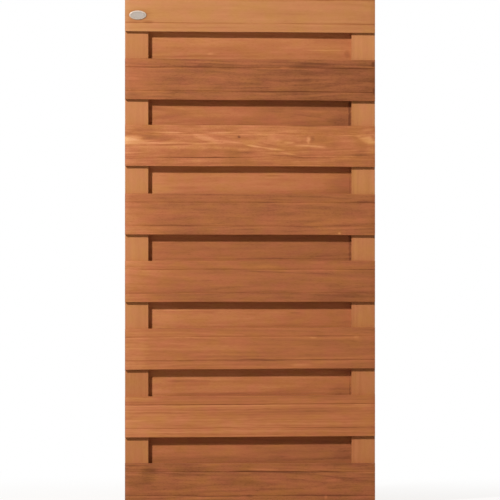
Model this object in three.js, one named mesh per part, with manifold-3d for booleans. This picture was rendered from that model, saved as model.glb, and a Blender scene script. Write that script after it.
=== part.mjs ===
// Garden privacy screen. Face boards and rear boards lie across the two sides of a pair of upright stiles,
// hit and miss: each rear board closes the bay between two face boards and laps both, so wind passes and
// sight does not. Long screws driven from the back clamp rear board, stile and face board together and end
// inside the face board, so the face shows no fastener.
//
// Units are millimetres. X runs along the boards, the face looks along -Y and +Z is up. The origin is at the
// foot of the screen, midway along it and midway through the stiles.

import * as THREE from 'three';
import { mergeVertices } from 'three/addons/utils/BufferGeometryUtils.js';
import Module from 'manifold-3d';

// Boards
const screenWidth = 875;
const faceBoardCount = 8;
const boardWidth = 145;
const boardThickness = 20;
const boardLap = 27; // how far a rear board reaches behind each of its two face boards
const boardArris = 2.5; // radius of the long edges
const grooveInset = 31; // board edge to the middle of a V-groove
const grooveWidth = 4;
const grooveDepth = 1.8;

// Stiles
const stileWidth = 82;
const stileThickness = 28;
const stileArris = 2;

// Screws
const shankDiameter = 5;
const headDiameter = 9.6;
const headRim = 0.6; // straight edge of the head, above its cone
const headSink = 0.4; // how far the head lies below the wood
const pointLength = 8;
const pointCover = 8; // wood left between a screw's point and the face
const endScrewInset = 30; // end of a stile to the middle of a short screw
const driveDiameter = 4.6;
const driveDepth = 1.8;
const driveLobes = 6;
const driveValley = 0.68; // inner over outer radius of the drive's star

// Badge plate
const badgeWidth = 60;
const badgeHeight = 32;
const badgeThickness = 3;
const badgeBevel = 0.8;
const badgeRim = 4.6; // width of the raised border
const badgeStep = 0.8; // slope between border and field
const badgeRecess = 0.9; // how far the field lies below the border
const badgeEndGap = 15; // end of the board to the plate
const badgeGrooveGap = 11; // lower groove to the plate
const badgePinInset = 11; // end of the plate to the middle of a pin

// Badge pins
const pinDiameter = 1.8;
const pinHeadDiameter = 3.4;
const pinHeadHeight = 0.9;
const pinPointLength = 2;
const pinBite = 9; // length inside the board

// Fits and facets
const holeClearance = 0.3;
const cutOverrun = 1; // how far a cutter runs past the surface that it opens
const arrisDivisions = 2; // a rounded edge gets twice as many facets
const screwFacets = 10;
const badgeFacets = 36;

// What follows from them
const bayHeight = boardWidth - 2 * boardLap;
const boardPitch = boardWidth + bayHeight;
const screenHeight = faceBoardCount * boardWidth + (faceBoardCount - 1) * bayHeight;
const stileX = (screenWidth - stileWidth) / 2;
const boardY = (stileThickness + boardThickness) / 2;
const faceY = -stileThickness / 2 - boardThickness;
const rearY = -faceY;
const pointY = faceY + pointCover;

const wasm = await Module();
wasm.setup();

// A closed geometry as a solid that can be cut.
function toSolid(geometry) {
  const bare = geometry.clone();
  bare.deleteAttribute('normal');
  bare.deleteAttribute('uv');
  const merged = mergeVertices(bare);
  const mesh = new wasm.Mesh({
    numProp: 3,
    vertProperties: merged.attributes.position.array,
    triVerts: new Uint32Array(merged.index.array),
  });
  return new wasm.Manifold(mesh);
}

// A solid back as a geometry.
function toGeometry(solid) {
  const { vertProperties, triVerts } = solid.getMesh();
  const geometry = new THREE.BufferGeometry();
  geometry.setAttribute('position', new THREE.BufferAttribute(vertProperties, 3));
  geometry.setIndex(new THREE.BufferAttribute(triVerts, 1));
  return geometry;
}

// Turns a list of [radius, height] pairs about the Y axis.
function turned(profile, facets) {
  const points = profile.map(([radius, height]) => new THREE.Vector2(radius, height));
  return new THREE.LatheGeometry(points, facets);
}

// Cuts the bore of each fixing out of a blank that stands at `place`.
function drilled(blank, place, fixings) {
  let solid = toSolid(blank);
  for (const { bore, position } of fixings) {
    const offset = position.clone().sub(place);
    solid = solid.subtract(toSolid(bore.clone().translate(offset.x, offset.y, offset.z)));
  }
  return toGeometry(solid);
}

// A named mesh with its own finish.
function piece(name, geometry, place, finish) {
  const mesh = new THREE.Mesh(geometry, new THREE.MeshStandardMaterial(finish));
  mesh.name = name;
  mesh.position.copy(place);
  return mesh;
}

// ---- Board and stile ----

// A section with rounded corners. Each V-shaped notch is cut into its lower side at the given middle.
function roundedSection(width, thickness, radius, notchMiddles = []) {
  const cornerX = width / 2 - radius;
  const cornerY = thickness / 2 - radius;
  const section = new THREE.Shape();
  section.absarc(cornerX, cornerY, radius, 0, Math.PI / 2);
  section.absarc(-cornerX, cornerY, radius, Math.PI / 2, Math.PI);
  section.absarc(-cornerX, -cornerY, radius, Math.PI, (3 * Math.PI) / 2);
  for (const middle of notchMiddles) {
    section.lineTo(middle - grooveWidth / 2, -thickness / 2);
    section.lineTo(middle, grooveDepth - thickness / 2);
    section.lineTo(middle + grooveWidth / 2, -thickness / 2);
  }
  section.absarc(cornerX, -cornerY, radius, (3 * Math.PI) / 2, 2 * Math.PI);
  return section;
}

// A section drawn out to a length, upwards from its place.
function drawnOut(section, length) {
  return new THREE.ExtrudeGeometry(section, {
    depth: length,
    bevelEnabled: false,
    curveSegments: arrisDivisions,
  });
}

// A board along X, centred on its place, with its grooves towards -Y, or towards +Y when turned round.
function boardBlank(turnedRound) {
  const grooveMiddle = boardWidth / 2 - grooveInset;
  const section = roundedSection(boardWidth, boardThickness, boardArris, [-grooveMiddle, grooveMiddle]);
  const blank = drawnOut(section, screenWidth);
  blank.translate(0, 0, -screenWidth / 2);
  blank.rotateY(Math.PI / 2);
  if (turnedRound) blank.rotateZ(Math.PI);
  return blank;
}

// An upright, standing on its place.
function stileBlank() {
  return drawnOut(roundedSection(stileWidth, stileThickness, stileArris), screenHeight);
}

// ---- Screw ----

// The six-lobed drive, as a cutter that opens through the top of the head.
function driveCutter() {
  const star = new THREE.Shape();
  for (let corner = 0; corner < 2 * driveLobes; corner += 1) {
    const radius = (driveDiameter / 2) * (corner % 2 ? driveValley : 1);
    const angle = (corner * Math.PI) / driveLobes;
    const x = radius * Math.cos(angle);
    const y = radius * Math.sin(angle);
    if (corner) star.lineTo(x, y);
    else star.moveTo(x, y);
  }
  const cutter = new THREE.ExtrudeGeometry(star, { depth: driveDepth + cutOverrun, bevelEnabled: false });
  cutter.rotateX(-Math.PI / 2);
  cutter.translate(0, -driveDepth, 0);
  return cutter;
}

// A countersunk screw that points along -Y, with the top of its head at the origin.
function screwGeometry(length) {
  const shank = shankDiameter / 2;
  const head = headDiameter / 2;
  const coneFoot = headRim + head - shank;
  const profile = [
    [0, -length],
    [shank, -length + pointLength],
    [shank, -coneFoot],
    [head, -headRim],
    [head, 0],
    [0, 0],
  ];
  return toGeometry(toSolid(turned(profile, screwFacets)).subtract(toSolid(driveCutter())));
}

// The hole that such a screw needs, open above its head.
function screwBore(length) {
  const shank = shankDiameter / 2 + holeClearance;
  const head = headDiameter / 2 + holeClearance;
  const coneFoot = headRim + holeClearance + head - shank;
  const top = headSink + cutOverrun;
  const profile = [
    [0, -length - holeClearance],
    [shank, -length + pointLength - holeClearance],
    [shank, -coneFoot],
    [head, -headRim - holeClearance],
    [head, top],
    [0, top],
  ];
  return turned(profile, screwFacets);
}

// ---- Badge plate ----

// A bare oval plate with a raised border, its back on its place and its front towards -Y.
function badgeBlank() {
  const edge = badgeWidth / 2;
  const field = badgeRecess - badgeThickness;
  const profile = [
    [0, field],
    [edge - badgeRim - badgeStep, field],
    [edge - badgeRim, -badgeThickness],
    [edge - badgeBevel, -badgeThickness],
    [edge, badgeBevel - badgeThickness],
    [edge, 0],
    [0, 0],
  ];
  return turned(profile, badgeFacets).scale(1, 1, badgeHeight / badgeWidth);
}

// A round-headed pin that points along +Y, with the underside of its head at the origin.
function pinGeometry(length) {
  const shank = pinDiameter / 2;
  const head = pinHeadDiameter / 2;
  const profile = [
    [0, -pinHeadHeight],
    [head * Math.SQRT1_2, -pinHeadHeight * Math.SQRT1_2],
    [head, 0],
    [shank, 0],
    [shank, length - pinPointLength],
    [0, length],
  ];
  return turned(profile, screwFacets);
}

// The hole that such a pin needs, open towards -Y.
function pinBore(length) {
  const shank = pinDiameter / 2 + holeClearance;
  const profile = [
    [0, -cutOverrun],
    [shank, -cutOverrun],
    [shank, length - pinPointLength + holeClearance],
    [0, length + holeClearance],
  ];
  return turned(profile, screwFacets);
}

// ---- Where everything goes ----

const faceBoards = [];
for (let number = 1; number <= faceBoardCount; number += 1) {
  const middle = boardWidth / 2 + (number - 1) * boardPitch;
  faceBoards.push({ name: `face_board_${number}`, place: new THREE.Vector3(0, -boardY, middle) });
}

const rearBoards = [];
for (let number = 1; number < faceBoardCount; number += 1) {
  const middle = boardWidth / 2 + (number - 0.5) * boardPitch;
  rearBoards.push({ name: `rear_board_${number}`, place: new THREE.Vector3(0, boardY, middle) });
}

const sides = [
  { side: 'left', x: -stileX },
  { side: 'right', x: stileX },
];

// A long screw through the middle of each lap, from the back of the rear board.
const longHeadY = rearY - headSink;
const longLength = longHeadY - pointY;
const longScrews = [];
rearBoards.forEach(({ place }, index) => {
  for (const { side, x } of sides) {
    for (const [end, up] of [['lower', -1], ['upper', 1]]) {
      const height = place.z + (up * (boardWidth - boardLap)) / 2;
      longScrews.push({
        name: `screw_${side}_${index + 1}_${end}`,
        position: new THREE.Vector3(x, longHeadY, height),
        length: longLength,
        bore: screwBore(longLength),
      });
    }
  }
});

// A short screw near each end of a stile, from its back, where no rear board lies.
const shortHeadY = stileThickness / 2 - headSink;
const shortLength = shortHeadY - pointY;
const shortScrews = [];
for (const { side, x } of sides) {
  for (const [end, height] of [['foot', endScrewInset], ['top', screenHeight - endScrewInset]]) {
    shortScrews.push({
      name: `end_screw_${side}_${end}`,
      position: new THREE.Vector3(x, shortHeadY, height),
      length: shortLength,
      bore: screwBore(shortLength),
    });
  }
}

// The badge plate lies on the flat between the grooves of the top face board.
const topBoardFoot = screenHeight - boardWidth;
const badgePlace = new THREE.Vector3(
  -screenWidth / 2 + badgeEndGap + badgeWidth / 2,
  faceY,
  topBoardFoot + grooveInset + grooveWidth / 2 + badgeGrooveGap + badgeHeight / 2,
);

const pinSeat = badgeThickness - badgeRecess;
const pinLength = pinSeat + pinBite;
const pins = [];
for (const [side, direction] of [['left', -1], ['right', 1]]) {
  const offset = new THREE.Vector3(direction * (badgeWidth / 2 - badgePinInset), -pinSeat, 0);
  pins.push({
    name: `badge_pin_${side}`,
    position: badgePlace.clone().add(offset),
    bore: pinBore(pinLength),
  });
}

// ---- Assembly ----

const wood = (color) => ({ color, roughness: 0.62, metalness: 0 });
const honey = wood('#c28253');
const amber = wood('#b2744a');
const russet = wood('#a3653d');
const umber = wood('#96593a');
const stainless = { color: '#b9b7b2', roughness: 0.35, metalness: 1 };
const pewter = { color: '#cfcbc6', roughness: 0.4, metalness: 0.9 };

const faceTones = [umber, amber, russet, amber, russet, honey, russet, honey];
const rearTones = [russet, amber, amber, russet, amber, amber, honey];

const screen = new THREE.Group();

const stiles = new THREE.Group();
for (const { side, x } of sides) {
  const place = new THREE.Vector3(x, 0, 0);
  const geometry = drilled(stileBlank(), place, [...longScrews, ...shortScrews]);
  stiles.add(piece(`stile_${side}`, geometry, place, amber));
}
screen.add(stiles);

const face = new THREE.Group();
faceBoards.forEach(({ name, place }, index) => {
  const geometry = drilled(boardBlank(false), place, [...longScrews, ...shortScrews, ...pins]);
  face.add(piece(name, geometry, place, faceTones[index % faceTones.length]));
});
screen.add(face);

const rear = new THREE.Group();
rearBoards.forEach(({ name, place }, index) => {
  const geometry = drilled(boardBlank(true), place, longScrews);
  rear.add(piece(name, geometry, place, rearTones[index % rearTones.length]));
});
screen.add(rear);

const fasteners = new THREE.Group();
for (const { name, position, length } of [...longScrews, ...shortScrews]) {
  fasteners.add(piece(name, screwGeometry(length), position, stainless));
}
screen.add(fasteners);

const badge = new THREE.Group();
badge.add(piece('badge_plate', drilled(badgeBlank(), badgePlace, pins), badgePlace, pewter));
for (const { name, position } of pins) {
  badge.add(piece(name, pinGeometry(pinLength), position, pewter));
}
screen.add(badge);

export default screen;
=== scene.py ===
"""Garden privacy screen: grooved boards on both sides of two stiles, with screws and a small oval plate.

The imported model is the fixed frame. Every board, stile, screw, pin and the plate is modelled again here with
eased edges, bores and finer metalwork, in the place of its solid. It gets a finish worked out from its own
coordinates. Lengths are in metres. X runs along the boards, the face looks along -Y and +Z is up.
"""

import logging
import math
from collections.abc import Callable, Iterable, Iterator, Mapping, Sequence
from contextlib import contextmanager
from dataclasses import dataclass, field
from enum import Enum
from functools import cache

import bmesh
import bpy
from mathutils import Matrix, Vector


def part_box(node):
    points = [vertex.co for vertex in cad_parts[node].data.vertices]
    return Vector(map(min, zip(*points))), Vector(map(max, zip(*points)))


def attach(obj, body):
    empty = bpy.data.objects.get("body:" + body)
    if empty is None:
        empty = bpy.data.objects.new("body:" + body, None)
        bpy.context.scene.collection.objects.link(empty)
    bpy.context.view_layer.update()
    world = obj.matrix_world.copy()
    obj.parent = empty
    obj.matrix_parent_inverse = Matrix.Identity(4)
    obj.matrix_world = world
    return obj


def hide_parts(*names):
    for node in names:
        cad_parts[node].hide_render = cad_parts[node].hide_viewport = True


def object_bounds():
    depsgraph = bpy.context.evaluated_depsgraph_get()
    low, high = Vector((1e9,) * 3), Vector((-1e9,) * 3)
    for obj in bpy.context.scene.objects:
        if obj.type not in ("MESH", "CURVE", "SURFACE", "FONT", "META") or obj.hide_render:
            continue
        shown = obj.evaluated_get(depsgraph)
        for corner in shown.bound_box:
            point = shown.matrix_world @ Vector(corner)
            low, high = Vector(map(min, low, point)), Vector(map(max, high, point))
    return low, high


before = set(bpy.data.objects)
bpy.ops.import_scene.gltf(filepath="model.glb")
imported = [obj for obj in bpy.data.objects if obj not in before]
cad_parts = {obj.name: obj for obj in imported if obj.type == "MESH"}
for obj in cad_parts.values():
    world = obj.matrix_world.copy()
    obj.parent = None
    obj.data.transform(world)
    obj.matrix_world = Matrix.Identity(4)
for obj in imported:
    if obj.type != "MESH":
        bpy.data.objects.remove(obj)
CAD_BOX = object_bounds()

LOG = logging.getLogger("garden_privacy_screen")
MM = 0.001
BODY = "root"
X, Y, Z = range(3)

# Corners closer than SAME_PLACE are at one place. NEAR is looser, and still under the smallest form.
SAME_PLACE = 0.01 * MM
NEAR = 0.1 * MM
# From this share on, a normal looks along its axis and a corner is an outermost one.
FACING = 0.9
# Facets of a rounded edge and of an eased one.
ROUND_FACETS = 5
EASE_FACETS = 2
# Edges that turn less than this are smooth.
WOOD_SMOOTH = math.radians(28.0)
METAL_SMOOTH = math.radians(30.0)
PIN_SMOOTH = math.radians(50.0)
# Screws are alike if their lengths in metres agree to so many digits.
LENGTH_DIGITS = 5

WHITE = (1.0, 1.0, 1.0, 1.0)
# What a socket can take: another socket, a number or a vector.
Feed = bpy.types.NodeSocket | float | Sequence[float]


class Side(Enum):
    """The side of the screen that a board's grooves look to."""

    FRONT = -1
    REAR = 1


class Element(Enum):
    """A kind of mesh element that can be selected."""

    VERT = "verts"
    EDGE = "edges"
    FACE = "faces"


class Slot(Enum):
    """The record's material slots."""

    FACE_BOARD = "face_board_wood"
    REAR_BOARD = "rear_board_wood"
    STILE = "stile_wood"
    STEEL = "stainless_steel"
    BADGE = "badge_metal"


# ---- Bench: the few moves that every piece is modelled with ----


def deselect_all() -> None:
    """Deselects every object, the frame's nodes included."""
    bpy.ops.object.select_all(action="DESELECT")


def activate(piece: bpy.types.Object) -> None:
    """Makes a piece the only selected object and the active one.

    Args:
        piece: The object to work on.
    """
    deselect_all()
    piece.select_set(True)
    bpy.context.view_layer.objects.active = piece


def settle(piece: bpy.types.Object) -> None:
    """Puts a piece's place, turn and scale into its mesh.

    Args:
        piece: The object to settle.
    """
    activate(piece)
    bpy.ops.object.transform_apply(location=True, rotation=True, scale=True)


def started(name: str) -> bpy.types.Object:
    """Names and settles the primitive that was just added.

    Args:
        name: The piece's name.

    Returns:
        The settled object.
    """
    piece = bpy.context.active_object
    piece.name = piece.data.name = name
    settle(piece)
    return piece


def copied(piece: bpy.types.Object, name: str, place: Matrix) -> bpy.types.Object:
    """Copies a modelled piece, with a mesh of its own.

    Args:
        piece: The object to copy.
        name: The copy's name.
        place: Where the copy goes, applied to its mesh.

    Returns:
        The copy.
    """
    twin = piece.copy()
    twin.data = piece.data.copy()
    twin.name = twin.data.name = name
    twin.data.transform(place)
    bpy.context.collection.objects.link(twin)
    return twin


def discard(*pieces: bpy.types.Object) -> None:
    """Removes patterns and cutters that have done their work.

    Args:
        pieces: The objects to remove.
    """
    for piece in pieces:
        bpy.data.meshes.remove(piece.data)


@contextmanager
def editing(piece: bpy.types.Object) -> Iterator[None]:
    """Holds a piece in edit mode.

    Args:
        piece: The object to edit.

    Yields:
        Nothing.
    """
    activate(piece)
    bpy.ops.object.mode_set(mode="EDIT")
    try:
        yield
    finally:
        bpy.ops.object.mode_set(mode="OBJECT")


def pick(piece: bpy.types.Object, kind: Element, fits: Callable[..., bool]) -> None:
    """Selects the elements of the edited mesh that fit, and nothing else.

    Args:
        piece: The object in edit mode.
        kind: The kind of element.
        fits: Says whether an element belongs to the selection.
    """
    bpy.ops.mesh.select_mode(type=kind.name)
    bpy.ops.mesh.select_all(action="DESELECT")
    mesh = bmesh.from_edit_mesh(piece.data)
    for element in getattr(mesh, kind.value):
        if fits(element):
            element.select_set(True)
    mesh.select_flush_mode()
    bmesh.update_edit_mesh(piece.data)


def span(edge: bmesh.types.BMEdge, axis: int) -> float:
    """How far an edge reaches along an axis."""
    return abs(edge.verts[0].co[axis] - edge.verts[1].co[axis])


def lies_at(edge: bmesh.types.BMEdge, axis: int, offset: float, middle: float = 0.0) -> bool:
    """Says whether an edge lies in one of the two planes at an offset from a middle.

    Args:
        edge: The edge.
        axis: The axis that the planes stand across.
        offset: From the middle to each plane.
        middle: The middle, along the axis.

    Returns:
        True where both its ends do.
    """
    return all(abs(abs(vert.co[axis] - middle) - offset) < SAME_PLACE for vert in edge.verts)


def bevel(width: float, facets: int) -> None:
    """Bevels the selected edges.

    Args:
        width: The bevel's width.
        facets: How many facets it gets.
    """
    bpy.ops.mesh.bevel(
        offset_type="OFFSET", offset=width, segments=facets, affect="EDGES", clamp_overlap=True
    )


def cut_across(place: Vector, normal: Vector) -> None:
    """Cuts an edge loop through the whole edited mesh, at a plane.

    Args:
        place: A point on the plane.
        normal: The plane's normal.
    """
    bpy.ops.mesh.select_all(action="SELECT")
    bpy.ops.mesh.bisect(plane_co=place, plane_no=normal)


def grow(step: Vector, factor: float, centre: Vector) -> None:
    """Extrudes the selected face and resizes it about the Y axis through a point.

    Args:
        step: How far the new face moves.
        factor: The new face's size over the old one's.
        centre: A point on the axis.
    """
    bpy.ops.mesh.extrude_region_move(TRANSFORM_OT_translate={"value": step})
    bpy.ops.transform.resize(value=(factor, 1.0, factor), center_override=centre)


def applied(piece: bpy.types.Object, kind: str, **settings: object) -> None:
    """Adds a modifier and applies it.

    Args:
        piece: The object to change.
        kind: The modifier's type.
        settings: The modifier's values.
    """
    modifier = piece.modifiers.new(kind.lower(), kind)
    for name, value in settings.items():
        setattr(modifier, name, value)
    activate(piece)
    bpy.ops.object.modifier_apply(modifier=modifier.name)


def cleaned(piece: bpy.types.Object, smooth_angle: float) -> None:
    """Merges doubles, points the faces outwards and smooths all but the sharp edges.

    Args:
        piece: The object to clean.
        smooth_angle: Edges that turn less than this are smooth.
    """
    with editing(piece):
        bpy.ops.mesh.select_all(action="SELECT")
        bpy.ops.mesh.remove_doubles(threshold=SAME_PLACE)
        bpy.ops.mesh.normals_make_consistent(inside=False)
    bpy.ops.object.shade_smooth_by_angle(angle=smooth_angle)


def fitted(piece: bpy.types.Object, node: str, finish: bpy.types.Material) -> None:
    """Puts a finished piece in the place of its solid.

    Args:
        piece: The finished object.
        node: The solid that it stands for.
        finish: Its material.
    """
    piece.data.materials.clear()
    piece.data.materials.append(finish)
    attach(piece, BODY)
    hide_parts(node)
    LOG.info("%s: %d faces", piece.name, len(piece.data.polygons))


# ---- Wiring: how finishes are put together ----

# How far a seed of 1 moves a noise in its own space.
SEED_STEP = (3.7, 5.1, 8.3)
# A Mix node's colour sockets. Its other sockets have the same names, so these go by number.
MIX_FACTOR, MIX_FIRST, MIX_SECOND, MIX_RESULT = 0, 6, 7, 2


@dataclass(frozen=True)
class Layer:
    """One layer of cloudy noise.

    Attributes:
        along: Features per metre along X, which is the grain in wood.
        across: Features per metre along Y and Z.
        detail: Extra octaves.
        rough: How strong they are.
    """

    along: float
    across: float
    detail: float = 2.0
    rough: float = 0.5


class Wiring:
    """Adds nodes to one node tree and joins their sockets.

    Attributes:
        tree: The node tree.
    """

    def __init__(self, tree: bpy.types.NodeTree) -> None:
        """Starts on a tree.

        Args:
            tree: The node tree to work in.
        """
        self.tree = tree

    def join(self, feed: Feed, socket: bpy.types.NodeSocket) -> None:
        """Links or sets a socket.

        Args:
            feed: The socket or the value that it takes.
            socket: The input.
        """
        if isinstance(feed, bpy.types.NodeSocket):
            self.tree.links.new(feed, socket)
        else:
            socket.default_value = feed

    def node(self, kind: str, **settings: object) -> bpy.types.Node:
        """Adds a node.

        Args:
            kind: The node's type, without its ShaderNode prefix.
            settings: The node's own options.

        Returns:
            The node.
        """
        made = self.tree.nodes.new(f"ShaderNode{kind}")
        for name, value in settings.items():
            setattr(made, name, value)
        return made

    def math(self, operation: str, *feeds: Feed) -> bpy.types.NodeSocket:
        """Works out one number from others.

        Args:
            operation: The Math node's operation.
            feeds: Its inputs.

        Returns:
            The result.
        """
        made = self.node("Math", operation=operation)
        for feed, socket in zip(feeds, made.inputs):
            self.join(feed, socket)
        return made.outputs["Value"]

    def vector(self, operation: str, *feeds: Feed) -> bpy.types.NodeSocket:
        """Works out one vector, or its length, from others.

        Args:
            operation: The Vector Math node's operation.
            feeds: Its inputs.

        Returns:
            The result.
        """
        made = self.node("VectorMath", operation=operation)
        for feed, socket in zip(feeds, made.inputs):
            self.join(feed, socket)
        return made.outputs["Value" if operation == "LENGTH" else "Vector"]

    def parts(self, vector: Feed) -> tuple[bpy.types.NodeSocket, ...]:
        """Takes a vector apart.

        Args:
            vector: The vector.

        Returns:
            Its X, Y and Z.
        """
        made = self.node("SeparateXYZ")
        self.join(vector, made.inputs["Vector"])
        return tuple(made.outputs)

    def combined(self, x: Feed, y: Feed, z: Feed) -> bpy.types.NodeSocket:
        """Puts a vector together.

        Args:
            x: Its X.
            y: Its Y.
            z: Its Z.

        Returns:
            The vector.
        """
        made = self.node("CombineXYZ")
        for feed, socket in zip((x, y, z), made.inputs):
            self.join(feed, socket)
        return made.outputs["Vector"]

    def rise(self, value: Feed, start: Feed, end: Feed) -> bpy.types.NodeSocket:
        """Goes smoothly from 0 at start to 1 at end.

        Args:
            value: The number that runs.
            start: Where the rise starts.
            end: Where it ends, above start.

        Returns:
            A number from 0 to 1.
        """
        made = self.node("MapRange", interpolation_type="SMOOTHSTEP")
        self.join(value, made.inputs["Value"])
        self.join(start, made.inputs["From Min"])
        self.join(end, made.inputs["From Max"])
        return made.outputs["Result"]

    def fade(self, value: Feed, start: Feed, end: Feed) -> bpy.types.NodeSocket:
        """Goes smoothly from 1 at start to 0 at end.

        Args:
            value: The number that runs.
            start: Where the fall starts.
            end: Where it ends, above start.

        Returns:
            A number from 1 to 0.
        """
        return self.math("SUBTRACT", 1.0, self.rise(value, start, end))

    def hypotenuse(self, first: Feed, second: Feed) -> bpy.types.NodeSocket:
        """The length of a line that goes first one way and second the other."""
        square = self.math("MULTIPLY", second, second)
        return self.math("SQRT", self.math("MULTIPLY_ADD", first, first, square))

    def noise(self, place: Feed, layer: Layer, seed: Feed) -> bpy.types.Node:
        """Adds a layer of noise.

        Args:
            place: Coordinates.
            layer: The noise's scales and octaves.
            seed: Moves the noise to another part of its space.

        Returns:
            The noise node, with outputs Fac and Color.
        """
        scaled = self.vector("MULTIPLY", place, (layer.along, layer.across, layer.across))
        apart = self.vector("SCALE", SEED_STEP)
        self.join(seed, apart.node.inputs["Scale"])
        made = self.node("TexNoise")
        self.join(self.vector("ADD", scaled, apart), made.inputs["Vector"])
        made.inputs["Scale"].default_value = 1.0
        made.inputs["Detail"].default_value = layer.detail
        made.inputs["Roughness"].default_value = layer.rough
        return made

    def centred(self, fac: Feed) -> bpy.types.NodeSocket:
        """Moves a number that runs from 0 to 1 so that it runs evenly about 0."""
        return self.math("SUBTRACT", fac, 0.5)

    def swing(self, fac: Feed, reach: Feed) -> bpy.types.NodeSocket:
        """Centres a number that runs from 0 to 1 on 0, and scales it.

        Args:
            fac: The number.
            reach: The result's span.

        Returns:
            The centred number.
        """
        return self.math("MULTIPLY", self.centred(fac), reach)

    def total(self, *feeds: Feed) -> bpy.types.NodeSocket:
        """Adds numbers up.

        Args:
            feeds: The numbers.

        Returns:
            Their sum.
        """
        result = feeds[0]
        for feed in feeds[1:]:
            result = self.math("ADD", result, feed)
        return result

    def weighted(
        self, sockets: Mapping[str, bpy.types.NodeSocket], weights: Iterable[tuple[str, float]]
    ) -> list[bpy.types.NodeSocket]:
        """Multiplies numbers by their weights.

        Args:
            sockets: The numbers, by name.
            weights: The name and the weight of each that is wanted.

        Returns:
            The products.
        """
        return [self.math("MULTIPLY", sockets[name], weight) for name, weight in weights]

    def mixed(self, factor: Feed, first: Feed, second: Feed, blend: str = "MIX") -> bpy.types.NodeSocket:
        """Mixes two colours.

        Args:
            factor: 0 gives the first and 1 the mixture with the second.
            first: A colour.
            second: Another.
            blend: How the second colour is laid over the first.

        Returns:
            The mixed colour.
        """
        made = self.node("Mix", data_type="RGBA", blend_type=blend)
        self.join(factor, made.inputs[MIX_FACTOR])
        self.join(first, made.inputs[MIX_FIRST])
        self.join(second, made.inputs[MIX_SECOND])
        return made.outputs[MIX_RESULT]

    def relief(self, shader: bpy.types.Node, height: Feed, distance: float, strength: float) -> None:
        """Gives a shader its relief.

        Args:
            shader: The shader.
            height: The height, of about 1 where it is greatest.
            distance: How high a height of 1 stands.
            strength: How strongly the relief shows.
        """
        bump = self.node("Bump")
        bump.inputs["Strength"].default_value = strength
        bump.inputs["Distance"].default_value = distance
        self.join(height, bump.inputs["Height"])
        self.join(bump.outputs["Normal"], shader.inputs["Normal"])

    def placed(self, effect: bpy.types.NodeTree, **feeds: Feed) -> bpy.types.Node:
        """Places an effect's group.

        Args:
            effect: The node group.
            feeds: What its inputs take, by name with _ for a space.

        Returns:
            The group's node.
        """
        made = self.node("Group", node_tree=effect)
        for name, feed in feeds.items():
            self.join(feed, made.inputs[name.replace("_", " ")])
        return made


class Effect(Wiring):
    """A shader node group that is being put together, with named inputs and outputs.

    Attributes:
        given: The group's inputs, as what its nodes are given.
        result: Its outputs, as what they have to feed.
    """

    def __init__(
        self, name: str, vectors: Sequence[str], numbers: Sequence[str], outputs: Sequence[str]
    ) -> None:
        """Makes the group and its sockets.

        Args:
            name: The group's name.
            vectors: The names of the inputs that take a vector.
            numbers: The names of the inputs that take a number.
            outputs: The outputs' names. One that ends in Colour holds a colour.
        """
        super().__init__(bpy.data.node_groups.new(name, "ShaderNodeTree"))
        for kind, labels in (("NodeSocketVector", vectors), ("NodeSocketFloat", numbers)):
            for label in labels:
                self.tree.interface.new_socket(label, in_out="INPUT", socket_type=kind)
        for label in outputs:
            kind = "NodeSocketColor" if label.endswith("Colour") else "NodeSocketFloat"
            self.tree.interface.new_socket(label, in_out="OUTPUT", socket_type=kind)
        self.given = self.tree.nodes.new("NodeGroupInput").outputs
        self.result = self.tree.nodes.new("NodeGroupOutput").inputs

    def finish(self, **feeds: Feed) -> bpy.types.NodeTree:
        """Feeds the outputs.

        Args:
            feeds: What each output takes, by name with _ for a space.

        Returns:
            The finished group.
        """
        for name, feed in feeds.items():
            self.join(feed, self.result[name.replace("_", " ")])
        return self.tree


# ---- Effects in the wood. Place runs from a timber's middle: X along it, Y through it, Z across it ----


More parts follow.
